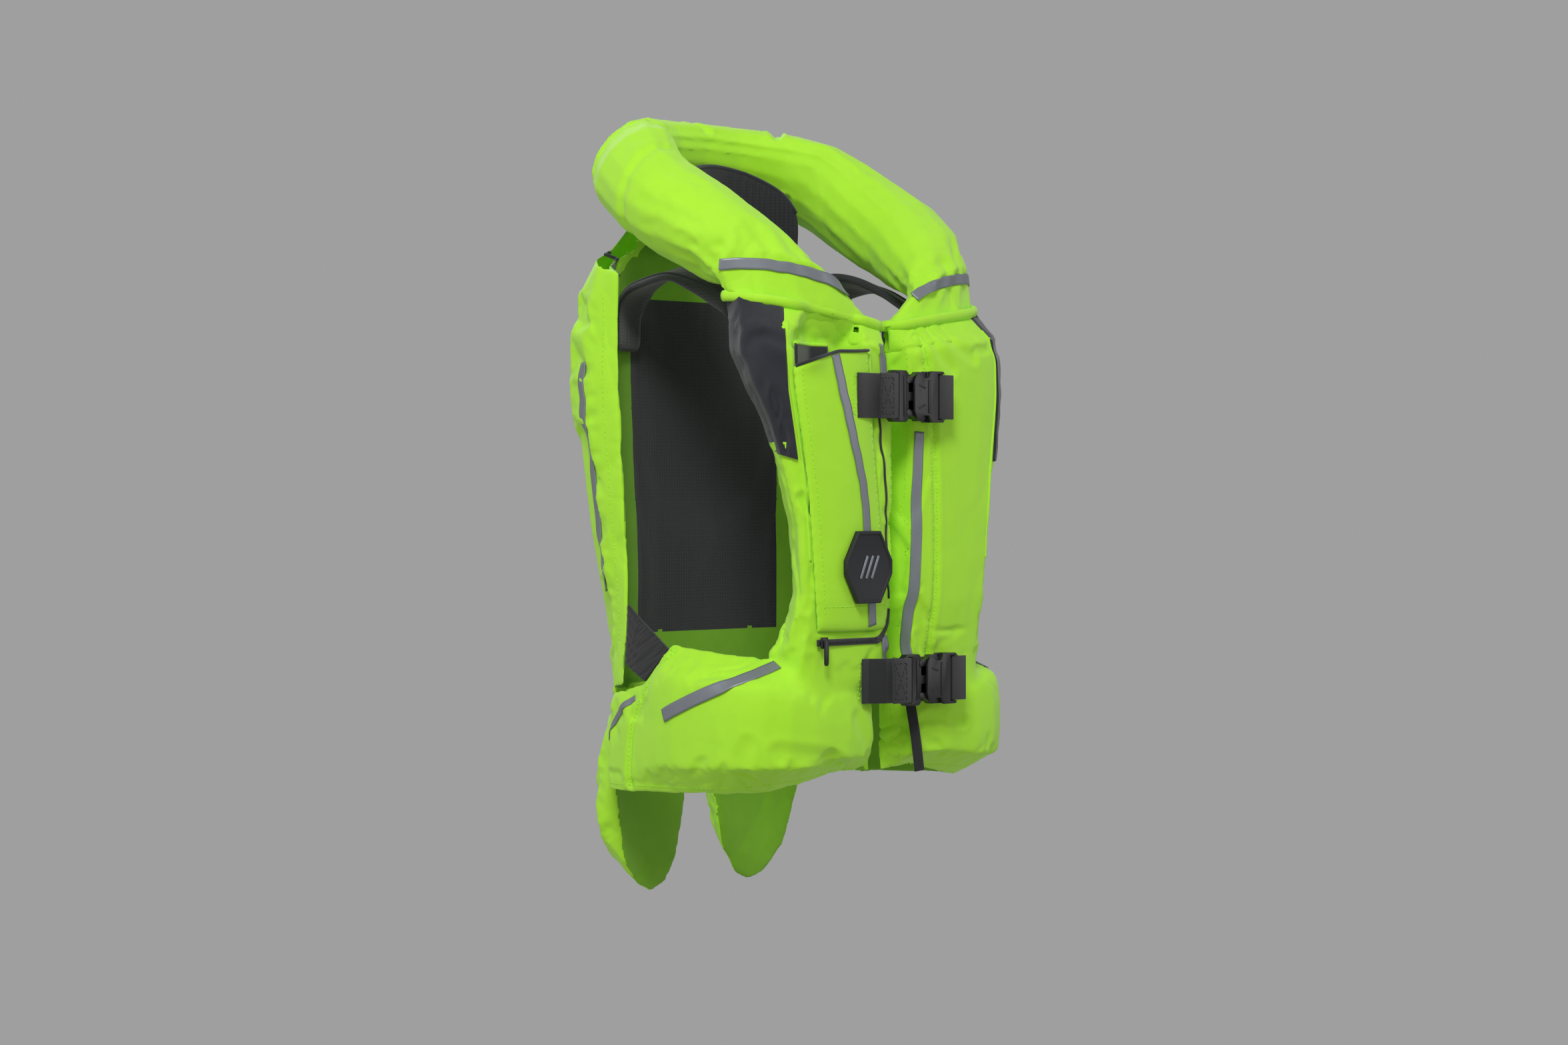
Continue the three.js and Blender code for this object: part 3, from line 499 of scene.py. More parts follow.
def seam_span(part, points):
    """How far each point is from the rim of the part's lining, or of its cover where it has no lining."""
    shell = f"{part}_lining" if f"{part}_lining" in nodes else f"{part}_cover"
    build = welded(nodes[shell].data)
    rim = [e for e in build.edges if len(e.link_faces) == 2 and e.calc_face_angle(0) > math.radians(60)]
    stops = [e.verts[0].co.lerp(e.verts[1].co, t) for e in rim for t in (0, 0.25, 0.5, 0.75)]
    build.free()
    tree = point_tree(stops)
    return np.array([tree.find(p)[2] for p in points])


# the collar tube's centre and its two half axes in mm, from the right front to the back's middle
STATIONS = [((-110, -93, -16), (-56, 24, 8), (-8, -18, 15)),
            ((-127, -42, 22), (-44, 8, -8), (-14, -14, 29)),
            ((-130, 12, 50), (-38, 0, -22), (-18, -8, 33)),
            ((-119, 62, 82), (-34, 18, -18), (-12, -10, 32)),
            ((-88, 102, 100), (-24, 24, -8), (-2, -4, 32)),
            ((-40, 122, 107), (-6, 29, -6), (0, 0, 29))]


def collar_spot(place, turn):
    """A point on the collar tube: place counts stations from the right front, turn goes round the tube."""
    def station(k):
        c, w, h = (Vector(v) * MM for v in STATIONS[min(k, 11 - k)])
        return [v * Vector((-1, 1, 1)) for v in (c, w, h)] if k > 5 else [c, w, h]
    k = min(int(place), 10)
    t = place - k
    c, w, h = (a.lerp(b, t) for a, b in zip(station(k), station(k + 1)))
    return c + w * math.cos(math.radians(turn)) + h * math.sin(math.radians(turn))


def groove(piece, line, depth, width, pull=0.0):
    """Draws the skin in along a line, as a seam or a fold does; pull raises a rim beside it."""
    tree = point_tree(line)
    points, directions = coordinates(piece), normals(piece)
    for index, point in enumerate(points):
        span = tree.find(point)[2] / width
        if span < 3:
            points[index] -= directions[index] * (depth * math.exp(-span * span)
                                                  - pull * math.exp(-(span - 1.6) ** 2 * 4))
    set_coordinates(piece, points)


def paint_insert(piece):
    """The cloth under the chest insert is the insert's own black softshell."""
    for face in piece.data.polygons:
        centre = face.center
        angle = math.degrees(math.atan2(-centre.x, -centre.y))
        if face.material_index == 0 and on_insert(angle, centre.z):
            face.material_index = INSERT_PAINT


def lay_lining(piece, parts, choose):
    """Gives the faces that look at the wearer their chosen inside cloth: the black mesh lining, or the neon
    twill darkened as painted shade.
    """
    linings = [tree_of(nodes[f"{part}_lining"]) for part in parts]
    for face in piece.data.polygons:
        centre = face.center
        radial = Vector((centre.x, centre.y, 0)).normalized()
        if face.normal.dot(radial) < -0.4:
            if min(tree.find_nearest(centre)[3] for tree in linings) < LINING_REACH:
                face.material_index = choose(centre)


def chamber(name, parts, pressure=5, slack=0.06, cap=8 * MM, seam=9 * MM, proud=6 * MM, held_inside=True,
            seed=1, linings=(), choose=None, blend_at=None, grooves=()):
    """One inflated chamber: layers fused, blown up by a simulation that is held back, then creased."""
    names = [f"{part}_{layer}" for part in parts for layer in ("cover", "bladder", "lining")
             if f"{part}_{layer}" in nodes]
    piece = joined_copy(name, names)
    remesh(piece, FINE, 1.3 * MM)
    ease(piece, 5)
    points = coordinates(piece) - normals(piece) * 0.8 * MM
    set_coordinates(piece, points)
    if blend_at is not None:
        group = piece.vertex_groups.new(name="blend")
        for index, point in enumerate(points):
            group.add([index], float(math.exp(-((point[2] - blend_at) / (16 * MM)) ** 2)), "REPLACE")
        modify(piece, "SMOOTH", iterations=60, vertex_group="blend")
        points = coordinates(piece)
    bladders = [f"{part}_bladder" for part in parts]
    rest, moved = billow(piece, bladders, pressure, slack, cap, seam, held_inside)
    billowed = carry(points, rest, moved)
    directions = normals(piece)
    out = ((billowed - points) * directions).sum(1)
    along = billowed - points - directions * out[:, None]
    along *= np.minimum(1, SKIN_DRIFT / np.maximum(np.linalg.norm(along, axis=1), 1e-9))[:, None]
    points = points + along + directions * np.clip(out, -1.2 * proud, proud)[:, None]
    set_coordinates(piece, points)
    ease(piece, 1, 0.4)
    points = coordinates(piece)
    near_seam = np.exp(-np.min([seam_span(part, points) for part in parts], axis=0) / (20 * MM))
    points = crumple(points, normals(piece), 1.8 * MM, 13, seed, 0.2 + near_seam)
    points = crumple(points, normals(piece), 0.7 * MM, 38, seed + 5, 0.05 + near_seam)
    set_coordinates(piece, points)
    for line, depth, width, pull in grooves:
        groove(piece, line(tree_of(piece)), depth, width, pull)
    finish_piece(piece, "neon_twill", VEST, names)
    for cloth in linings:
        piece.data.materials.append(materials[cloth])
    if choose:
        lay_lining(piece, parts, choose)
    if choose is inside_front:
        paint_insert(piece)
    return piece


def line_on(places):
    """A smooth line of (angle, height in mm) places, for a groove or a seam."""
    exact = [(a, z * MM) for a, z in curved(places)]
    return lambda tree: [point for point, _ in route_on(tree, exact)]


def ring_line(place, lean=0.0):
    """A fold across the collar tube, from its top over the outside and down."""
    def lay(tree):
        line = [collar_spot(place + lean * turn / 180, turn) for turn in range(-120, 121, 4)]
        return [tree.find_nearest(p)[0] for p in line]
    return lay


def tube_line(turn, start, end):
    """A line that runs along the collar tube."""
    def lay(tree):
        line = [collar_spot(start + (end - start) * k / 160, turn) for k in range(161)]
        return [tree.find_nearest(p)[0] for p in line]
    return lay


HIP_SEAM = [(85, -352), (93, -378), (100, -409), (103, -440), (104, -474)]
LEFT_SEAM = [(-13, -70), (-15, -140), (-16, -220), (-16, -300), (-15, -372)]
# each groove is a line, its depth, its width and the height of the rim beside it
collar_grooves = [(ring_line(3.5, 0.5), 8 * MM, 6 * MM, 1.5 * MM),
                  (ring_line(4.2, -0.4), 4 * MM, 5 * MM, 1 * MM),
                  (ring_line(5.2, 0.5), 3 * MM, 5 * MM, 1 * MM),
                  (ring_line(6.7, 0.4), 4 * MM, 5 * MM, 1 * MM),
                  (ring_line(7.2, -0.3), 3.5 * MM, 4 * MM, 1 * MM),
                  (ring_line(2.3, 0.3), 2.5 * MM, 6 * MM, 0),
                  (tube_line(-62, 0.6, 10.4), 3 * MM, 3.5 * MM, 1 * MM)]
front_grooves = [(line_on(HIP_SEAM), 3 * MM, 4 * MM, 0.8 * MM),
                 (line_on([(8, -458), (14, -436), (20, -412)]), 1.6 * MM, 7 * MM, 0.6 * MM),
                 (line_on([(22, -462), (30, -446), (46, -436)]), 1.8 * MM, 7 * MM, 0.6 * MM),
                 (line_on([(52, -470), (56, -452), (54, -430)]), 1.4 * MM, 7 * MM, 0.5 * MM),
                 (line_on([(49, -352), (56, -366), (70, -372)]), 2 * MM, 6 * MM, 0.6 * MM),
                 (line_on([(40, -215), (36, -232), (30, -246)]), 2.5 * MM, 5 * MM, 1 * MM)]
left_grooves = [(line_on(LEFT_SEAM), 3.2 * MM, 4 * MM, 1 * MM),
                (line_on([(-17, -60), (-19, -80), (-24, -98)]), 2 * MM, 6 * MM, 0.6 * MM),
                (line_on([(-24, -58), (-27, -74), (-34, -86)]), 1.8 * MM, 6 * MM, 0.6 * MM),
                (line_on([(-6, -430), (-16, -416), (-30, -420)]), 3 * MM, 5 * MM, 1 * MM)]


INSERT_HEIGHTS, INSERT_ANGLES = [-353, -285, -200, -110, -37], [36, 38, 40, 44, 45]
INSERT_FOOT, INSERT_TOP, ARMHOLE_END = -165.5, -50, 68


def on_insert(angle, z):
    """Whether a place on the front lies under the black chest insert."""
    height = z / MM
    edge = np.interp(height, INSERT_HEIGHTS, INSERT_ANGLES) + 1
    return edge < abs(angle) < ARMHOLE_END and INSERT_FOOT < height < INSERT_TOP


# the inside cloths: 1 is the black mesh lining, 2 is the neon twill darkened as painted shade
def inside_front(centre):
    return 1 if centre.z > -0.372 else 2


# black mesh in the middle of the back, and the neon twill in painted shade elsewhere
def inside_back(centre):
    middle = abs(math.degrees(math.atan2(centre.x, centre.y)))
    return 1 if middle < 42 and -0.34 < centre.z < -0.03 else 2


add_camera()
add_studio()
WAIST = -0.381
# the inside cloths: the black mesh lining, and the neon twill darkened as painted shade
LININGS = ("mesh_lining", "shade_twill")
FRONT_CLOTHS = ("mesh_lining", "shade_twill", "softshell")
chambers = {
    "collar": chamber("collar", ["collar"], 6, 0.07, held_inside=False, proud=7 * MM, seed=1,
                      grooves=collar_grooves),
    "front_right": chamber("right_front_and_wrap", ["front_right", "hip_wrap_right"], proud=1.2 * MM, seed=2,
                           linings=FRONT_CLOTHS, choose=inside_front, blend_at=WAIST, grooves=front_grooves),
    "front_left": chamber("left_front_and_wrap", ["front_left", "hip_wrap_left"], proud=1 * MM, seed=3,
                          linings=FRONT_CLOTHS, choose=inside_front, blend_at=WAIST, grooves=left_grooves),
    "back": chamber("back_chamber", ["back"], proud=3 * MM, seed=6, linings=LININGS, choose=inside_back),
    # the tail's whole inside is the neon twill in painted shade
    "tail": chamber("tail_chamber", ["tail"], seed=7, linings=LININGS, choose=lambda centre: 2),
}
trees = {name: tree_of(piece) for name, piece in chambers.items()}


# ---- lines sewn on the surfaces: cords, stitches, tapes ----
def frames(points, lifts):
    """Tangents, normals and sides along a line of (place, normal) pairs."""
    places = np.array([tuple(p) for p, _ in points])
    ups = np.array([tuple(n) for _, n in points])
    for _ in range(3):
        ups[1:-1] = (ups[:-2] + ups[1:-1] * 2 + ups[2:]) / 4
        places[1:-1] = (places[:-2] + places[1:-1] * 2 + places[2:]) / 4
    tangents = np.gradient(places, axis=0)
    tangents /= np.linalg.norm(tangents, axis=1, keepdims=True) + 1e-12
    sides = np.cross(tangents, ups)
    sides /= np.linalg.norm(sides, axis=1, keepdims=True) + 1e-12
    ups = np.cross(sides, tangents)
    return places + ups * lifts, tangents, ups, sides


def rail(name, points, section, slot, body=VEST, lift=0.0, replaced=()):
    """A closed body with one section, swept along a line; a section holds (side, up) corners."""
    places, _, ups, sides = frames(points, lift)
    rings = [[place + side * a + up * b for a, b in section] for place, up, side in zip(places, ups, sides)]
    across = len(section)
    verts = [p for ring in rings for p in ring]
    faces = [(k * across + i, k * across + (i + 1) % across, (k + 1) * across + (i + 1) % across,
              (k + 1) * across + i) for k in range(len(rings) - 1) for i in range(across)]
    faces.append(tuple(range(across)))
    faces.append(tuple(range((len(rings) - 1) * across, len(rings) * across))[::-1])
    piece = mesh_from(name, verts, faces)
    tidy_normals(piece)
    return finish_piece(piece, slot, body, replaced)


def tidy_normals(piece):
    build = bmesh.new()
    build.from_mesh(piece.data)
    bmesh.ops.recalc_face_normals(build, faces=build.faces)
    build.to_mesh(piece.data)
    build.free()


def oval_section(wide, thick, sides=12):
    turns = [2 * math.pi * k / sides for k in range(sides)]
    return [(wide * math.cos(t), thick * math.sin(t)) for t in turns]


def round_section(radius):
    return oval_section(radius, radius, 8)


def flat_section(width, thick, parts=6):
    top = [(-width / 2 + width * k / parts, thick) for k in range(parts + 1)]
    low = [(width / 2 - width * k / parts, -0.3 * MM) for k in range(parts + 1)]
    return top + low


def stitches(name, lines, slot, body=VEST, length=2.6 * MM, gap=1.5 * MM, radius=0.42 * MM, lift=0.15 * MM):
    """Thread dashes along lines of (place, normal) pairs: small spindles, half sunk in the cloth."""
    verts, faces = [], []
    for points in lines:
        if len(points) < 4:
            continue
        places, tangents, ups, sides = frames(points, lift)
        steps = np.r_[0, np.cumsum(np.linalg.norm(np.diff(places, axis=0), axis=1))]
        for start in np.arange(0, steps[-1] - length, length + gap):
            k = min(int(np.searchsorted(steps, start + length / 2)), len(places) - 1)
            c, t, u, w = places[k], tangents[k], ups[k], sides[k]
            base = len(verts)
            for shift, size in ((-0.5, 0.3), (-0.25, 1), (0.25, 1), (0.5, 0.3)):
                for a, b in ((1, 0), (0, 1), (-1, 0), (0, -1)):
                    verts.append(c + t * length * shift + (w * a + u * b) * radius * size)
            for ring in range(3):
                for k in range(4):
                    q = (k + 1) % 4
                    faces.append((base + ring * 4 + k, base + ring * 4 + q, base + ring * 4 + 4 + q,
                                  base + ring * 4 + 4 + k))
            faces.append((base, base + 3, base + 2, base + 1))
            faces.append((base + 12, base + 13, base + 14, base + 15))
    piece = mesh_from(name, verts, faces)
    tidy_normals(piece)
    return finish_piece(piece, slot, body)


def snapped(tree, line):
    """Each point's nearest place on the surface, with its normal."""
    return [tree.find_nearest(Vector(p))[:2] for p in line]


def outermost(tree, line):
    """The line's points moved in or out from the vest's axis onto the surface."""
    found = [spot(tree, math.degrees(math.atan2(-p[0], -p[1])), p[2]) for p in line]
    return [pair for pair in found if pair[0] is not None]


def beside(tree, points, shift, lay=outermost):
    """The same line moved sideways on the surface."""
    places, _, _, sides = frames(points, 0)
    return lay(tree, places + sides * shift)


def on_surface(tree, places):
    return route_on(tree, [(a, z * MM) for a, z in curved(places)])


# ---- reflective tape ----
TAPE_THICK, TAPE_LIFT = 0.6 * MM, 0.9 * MM


def middle_line(node, count):
    """The middle line of a strip-shaped CAD node, found by slicing it along its length."""
    build = bmesh.new()
    build.from_mesh(nodes[node].data)
    bmesh.ops.subdivide_edges(build, edges=build.edges, cuts=2, use_grid_fill=True)
    points = np.array([tuple(v.co) for v in build.verts])
    build.free()
    centre = points.mean(0)
    axis = np.linalg.svd(points - centre, full_matrices=False)[2][0]
    place = (points - centre) @ axis
    cuts = np.linspace(place.min(), place.max() + 1e-6, count + 1)
    return [points[(place >= low) & (place < high)].mean(0) for low, high in zip(cuts, cuts[1:])
            if ((place >= low) & (place < high)).any()]


def swept(points, rounds=8):
    """Evens out a laid line. It may dip under cloth that waves."""
    for _ in range(rounds):
        middle = [((a[0] + b[0] * 2 + c[0]) / 4, ((a[1] + b[1] * 2 + c[1]) / 4).normalized())
                  for a, b, c in zip(points, points[1:], points[2:])]
        points = [points[0], *middle, points[-1]]
    return points


def tape_on(name, node, tree, width=10 * MM, count=26, lay=outermost):
    line = middle_line(node, count)
    fine = [a + (b - a) * t for a, b in zip(line, line[1:]) for t in (0, 0.33, 0.66)] + [line[-1]]
    points = swept(lay(tree, fine))
    rail(name, points, flat_section(width, TAPE_THICK), "reflective_tape", lift=TAPE_LIFT, replaced=[node])


def refined(name, node, levels, smooth=False):
    piece = new_object(name, nodes[node].data.copy())
    build = welded(piece.data)
    bmesh.ops.join_triangles(build, faces=build.faces, angle_face_threshold=0.6, angle_shape_threshold=1.5)
    build.to_mesh(piece.data)
    build.free()
    kind = "CATMULL_CLARK" if smooth else "SIMPLE"
    return modify(piece, "SUBSURF", subdivision_type=kind, levels=levels, render_levels=levels)


PANEL_LIFT, PANEL_FOLD = 1.4 * MM, 1.8 * MM


def laid(name, node, base_node, tree):
    """A thin CAD piece, refined and laid down on the inflated surface below it."""
    piece = refined(name, node, 3)
    points = coordinates(piece)
    base = tree_of(nodes[base_node])
    heights = np.array([base.find_nearest(Vector(p))[3] for p in points])
    middle = (heights.min() + heights.max()) / 2
    for index, p in enumerate(points):
        angle = math.degrees(math.atan2(-p[0], -p[1]))
        hit, _ = spot(tree, angle, p[2])
        if hit is None or (hit - Vector(p)).length > 14 * MM:
            hit = tree.find_nearest(Vector(p))[0]
        fold = PANEL_FOLD * abs(noise.noise(Vector((angle * 0.16, p[2] * 26, 4.2))))
        rise = PANEL_LIFT + fold + (0.9 * MM if heights[index] > middle else -2 * MM)
        points[index] = hit + outward(angle) * rise
    set_coordinates(piece, points)
    ease(piece, 2, 0.4)
    return finish_piece(piece, "softshell", VEST, [node])


# ---- cargo pocket: a pouch with an open mouth ----
def pocket_edges(z):
    """The angles where the CAD pocket starts and ends at one height."""
    found = [angle / 4 for angle in range(16, 200) if spot(POCKET_TREE, angle / 4, z)[0] is not None]
    return (found[0], found[-1]) if found else None


POCKET_TREE, GROUND = tree_of(nodes["pocket_shell"]), tree_of(nodes["front_right_cover"])
POCKET_TOP, POCKET_LOW = -0.0835, -0.3330
ROWS, COLUMNS = 100, 44
MOUTH_Z, MOUTH_TALL = -0.092, 25 * MM


def pouch_grid():
    """Each row's height and the angles of the pocket's sides; a row that misses it repeats the last."""
    heights = [POCKET_TOP + (POCKET_LOW - POCKET_TOP) * row / ROWS for row in range(ROWS + 1)]
    edges = [pocket_edges(z) for z in heights]
    last = next(edge for edge in edges if edge)
    out = []
    for z, edge in zip(heights, edges):
        last = edge or last
        out.append((z, last))
    return out


def reach_at(tree, angle, z):
    hit, _ = spot(tree, angle, z)
    return math.hypot(hit.x, hit.y) if hit is not None else None


def pouch_point(edges, row, column):
    """The pouch stands on the chamber at its sides and foot, and fills out between them."""
    z, (near, far) = edges[row]
    u, v = column / COLUMNS, row / ROWS
    angle = near + (far - near) * u
    feet = [reach_at(GROUND, edge, z) for edge in (near - 0.8, far + 0.8)]
    ground = feet[0] + (feet[1] - feet[0]) * u + 0.8 * MM
    top = reach_at(POCKET_TREE, min(max(angle, near + 0.6), far - 0.6), z) or ground + 8 * MM
    rise = max(top - ground, 3 * MM) + 0.8 * MM
    full = min(1, max(0, min(min(u, 1 - u) / 0.10, (1 - v) / 0.05)))
    full = math.sqrt(max(0, 1 - (1 - full) ** 2))
    gape = 7 * MM * math.exp(-((u - 0.78) / 0.14) ** 2) * math.exp(-(v / 0.06) ** 2)
    dip = 1.4 * MM * noise.noise(Vector((angle * 0.10, z * 13, 1.7))) - 0.7 * MM
    reach = ground + (rise + gape + dip) * full
    return outward(angle) * reach + Vector((0, 0, z))


def build_pouch():
    edges = pouch_grid()
    across = COLUMNS + 1
    points = [[pouch_point(edges, row, column) for column in range(across)] for row in range(ROWS + 1)]
    # the top edge sags between its corners, lowest at the outer end, where the mouth opens
    for column in range(across):
        u = column / COLUMNS
        sag = 2 * MM * math.sin(math.pi * u) + 17 * MM * max(0, (u - 0.5) / 0.5) ** 1.2
        for row in range(ROWS // 5):
            points[row][column].z -= sag * (1 - row / (ROWS // 5)) ** 2
    verts = [p for row in points for p in row]
    faces = [(r * across + c, r * across + c + 1, (r + 1) * across + c + 1, (r + 1) * across + c)
             for r in range(ROWS) for c in range(COLUMNS)]
    piece = mesh_from("pocket", verts, faces)
    tidy_normals(piece)
    if piece.data.polygons[len(faces) // 2].normal.y > 0:
        piece.data.flip_normals()
    modify(piece, "SOLIDIFY", thickness=1.6 * MM, offset=-1)
    ease(piece, 2, 0.5)
    finish_piece(piece, "neon_twill", VEST, ["pocket_shell", "pocket_lining"])
    piece.data.materials.append(materials["mesh_lining"])
    for face in piece.data.polygons:
        if face.center.z > -0.12 and face.normal.y > 0.1:
            face.material_index = 1
    lip_up = Vector((0, -0.3, 1)).normalized()
    lip = [(points[0][column] + Vector((0, -0.4 * MM, 0)), lip_up) for column in range(1, COLUMNS)]
    rail("pocket_lip", lip, round_section(1.5 * MM), "softshell")
    near, far = edges[2][1]
    mouth = [(outward(a) * (reach_at(GROUND, a, MOUTH_Z) + 4.5 * MM) + Vector((0, 0, MOUTH_Z)), outward(a))
             for a in np.linspace(near + (far - near) * 0.5, far - 0.6, 24)]
    rail("pocket_throat", mouth, flat_section(MOUTH_TALL, 1.6 * MM, 10), "softshell")
    brim = [(p + Vector((0, 0, MOUTH_TALL / 2)), Vector((0, 0, 1))) for p, _ in mouth]
    rail("pocket_brim", brim, round_section(2 * MM), "neon_twill")
    return tree_of(piece), points


pocket_tree, pouch = build_pouch()
for side, sign in SIDES:
    places = [(sign * 82, -408), (sign * 64, -384), (sign * 47, -362)]
    rail(f"wrap_tape_{side}", on_surface(trees[f"front_{side}"], places), flat_section(12 * MM, TAPE_THICK),
         "reflective_tape", lift=TAPE_LIFT, replaced=[f"wrap_strip_{side}"])
tape_on("placket_tape_left", "placket_strip_left", trees["front_left"])
for side, _ in SIDES:
    tape_on(f"back_tape_{side}", f"back_strip_{side}", trees["back"], 11 * MM)
for side, _ in SIDES:
    tape_on(f"collar_tape_{side}", f"collar_strip_{side}", trees["collar"], lay=snapped)
tape_on("pocket_tape", "pocket_strip", pocket_tree, 9.5 * MM, 40)
for side, _ in SIDES:
    laid(f"chest_panel_{side}", f"chest_insert_{side}", f"front_{side}_cover", trees[f"front_{side}"])

# the right front's own tape shows only above and below the pocket
for part, high, low in (("high", -78, -108), ("low", -338, -366)):
    rail(f"placket_tape_right_{part}", on_surface(trees["front_right"], [(7.5, high), (7, low)]),
         flat_section(9.5 * MM, TAPE_THICK), "reflective_tape", lift=TAPE_LIFT)

# ---- sewn lines ----
right, left, back_tree = trees["front_right"], trees["front_left"], trees["back"]
neon_thread = []
for tree, seam in ((right, HIP_SEAM), (left, LEFT_SEAM)):
    neon_thread += [beside(tree, on_surface(tree, seam), side * 3 * MM) for side in (-1, 1)]
for tree, places in ((right, [(4.2, -72), (4.0, -200), (4.0, -330), (4.4, -452)]),
                     (right, [(6, -457), (30, -460), (60, -470), (95, -474), (120, -476)]),
                     (left, [(-7.5, -70), (-7, -200), (-7, -330), (-7.5, -452)]),
                     (left, [(-9, -457), (-30, -460), (-60, -470), (-95, -474), (-120, -476)]),
                     (back_tree, [(116, -30), (116, -180), (116, -350)]),
                     (back_tree, [(244, -30), (244, -180), (244, -350)])):
    neon_thread.append(on_surface(tree, places))
collar_line = snapped(trees["collar"], tube_line(-62, 0.6, 10.4)(trees["collar"]))
neon_thread += [beside(trees["collar"], collar_line, side * 3 * MM, snapped) for side in (-1, 1)]
for column in (3, COLUMNS - 4):
    neon_thread.append(outermost(pocket_tree, [pouch[row][column] for row in range(3, ROWS - 6)]))
neon_thread.append(outermost(pocket_tree, [pouch[ROWS - 9][column] for column in range(3, COLUMNS - 3)]))
stitches("neon_stitching", neon_thread, "neon_twill")

# ---- hard pieces: the CAD shapes with softened edges ----
def rounded(name, node, slot, body, width, segments=3):
    piece = new_object(name, nodes[node].data.copy())
    build = welded(piece.data)
    bmesh.ops.dissolve_limit(build, angle_limit=math.radians(4), verts=build.verts, edges=build.edges)
    build.to_mesh(piece.data)
    build.free()
    modify(piece, "BEVEL", width=width, segments=segments, limit_method="ANGLE", angle_limit=math.radians(32),
           use_clamp_overlap=True)
    finish_piece(piece, slot, body, [node])
    piece.data.set_sharp_from_angle(angle=math.radians(38))
    return piece


def rounded_box(name, centre, size, bevel, slot, body, turn=0.0):
    """A small moulded bar or boss; turn leans it in the X-Z plane."""
    build = bmesh.new()
    bmesh.ops.create_cube(build, size=1)
    bmesh.ops.scale(build, vec=Vector(size), verts=build.verts)
    bmesh.ops.bevel(build, geom=build.edges, offset=bevel, segments=3, profile=0.5, affect="EDGES")
    bmesh.ops.rotate(build, matrix=Matrix.Rotation(turn, 3, "Y"), verts=build.verts)
    bmesh.ops.translate(build, vec=Vector(centre), verts=build.verts)
    mesh = bpy.data.meshes.new(name)
    build.to_mesh(mesh)
    build.free()
    piece = finish_piece(new_object(name, mesh), slot, body)
    piece.data.set_sharp_from_angle(angle=math.radians(38))
    return piece


BUCKLE_Y, SOCKET_HALF = -0.161, 6.4 * MM
for which, x, z in BUCKLES:
    latch = f"{which}_latch"
    rounded(f"{which}_buckle_plug", f"{which}_plug", "buckle_plastic", VEST, 0.9 * MM)
    for arm, prong, body in (("top", "top", "a"), ("low", "bottom", "b")):
        rounded(f"{which}_buckle_arm_{arm}", f"{which}_prong_{prong}", "buckle_plastic",
                f"{which}_prong_{body}", 0.8 * MM)
    rounded(f"{which}_buckle_socket", f"{which}_socket", "buckle_plastic", latch, 1.3 * MM, 4)
    rounded(f"{which}_strap_right", f"{which}_webbing_right", "webbing", VEST, 0.5 * MM, 2)
    rounded(f"{which}_strap_left", f"{which}_webbing_left", "webbing", latch, 0.5 * MM, 2)
    front = BUCKLE_Y - SOCKET_HALF
    rounded_box(f"{which}_socket_rib", (x + 24 * MM, front, z), (3 * MM, 1.6 * MM, 30 * MM), 0.7 * MM,
                "buckle_plastic", latch)
    for side in (-1, 1):
        rounded_box(f"{which}_socket_ridge_{side + 1}", (x + 15 * MM, front, z + side * 9 * MM),
                    (9 * MM, 1.2 * MM, 1.8 * MM), 0.5 * MM, "buckle_plastic", latch, side * 0.35)
    rounded_box(f"{which}_plug_rib", (x - 5 * MM, BUCKLE_Y - 3.5 * MM, z), (3 * MM, 1.4 * MM, 36 * MM),
                0.6 * MM, "buckle_plastic", VEST)

# ---- webbing seams: a crossed box sewn through each strap ----
def flat_line(a, b, y):
    """A straight line between two (x, z) places on a plane that faces forward."""
    count = max(4, int(math.dist(a, b) / (1.5 * MM)))
    steps = [k / count for k in range(count + 1)]
    ahead = Vector((0, -1, 0))
    return [(Vector((a[0] + (b[0] - a[0]) * t, y, a[1] + (b[1] - a[1]) * t)), ahead) for t in steps]


def crossed_box(x0, x1, z, y):
    low, high = z - 16 * MM, z + 16 * MM
    corners = [(x0, low), (x1, low), (x1, high), (x0, high)]
    return ([flat_line(corners[k], corners[(k + 1) % 4], y) for k in range(4)]
            + [flat_line(corners[0], corners[2], y), flat_line(corners[1], corners[3], y)])


STRAP_FACE, CHEST_Y = BUCKLE_Y - 5.6 * MM, -0.152
for which, x, z in BUCKLES:
    lines = crossed_box(x - 37 * MM, x - 22 * MM, z, STRAP_FACE - 0.1 * MM)
    stitches(f"{which}_strap_stitching", lines, "webbing", radius=0.5 * MM)
neon_box = []
for which, x, z in BUCKLES:
    tree = pocket_tree if which == "upper" else right
    for (xa, za), (xb, zb) in (((-47, -17), (-62, -17)), ((-62, -17), (-62, 17)), ((-62, 17), (-47, 17)),
                               ((-47, 17), (-62, -17)), ((-47, -17), (-62, 17))):
        line = [Vector((x + (xa + (xb - xa) * k / 20) * MM, CHEST_Y, z + (za + (zb - za) * k / 20) * MM))
                for k in range(21)]
        neon_box.append(outermost(tree, line))
stitches("strap_anchor_stitching", neon_box, "neon_twill")

# ---- badge ----
rounded("pocket_badge", "hex_badge", "badge_rubber", VEST, 0.9 * MM)
BADGE = Vector((-0.056, -0.16305, -0.276))
for index, shift in enumerate((-7, 0, 7)):
    rounded_box(f"badge_bar_{index}", (BADGE.x + shift * MM, BADGE.y, BADGE.z), (2.6 * MM, 1 * MM, 22 * MM),
                0.4 * MM, "reflective_tape", VEST, math.radians(24))

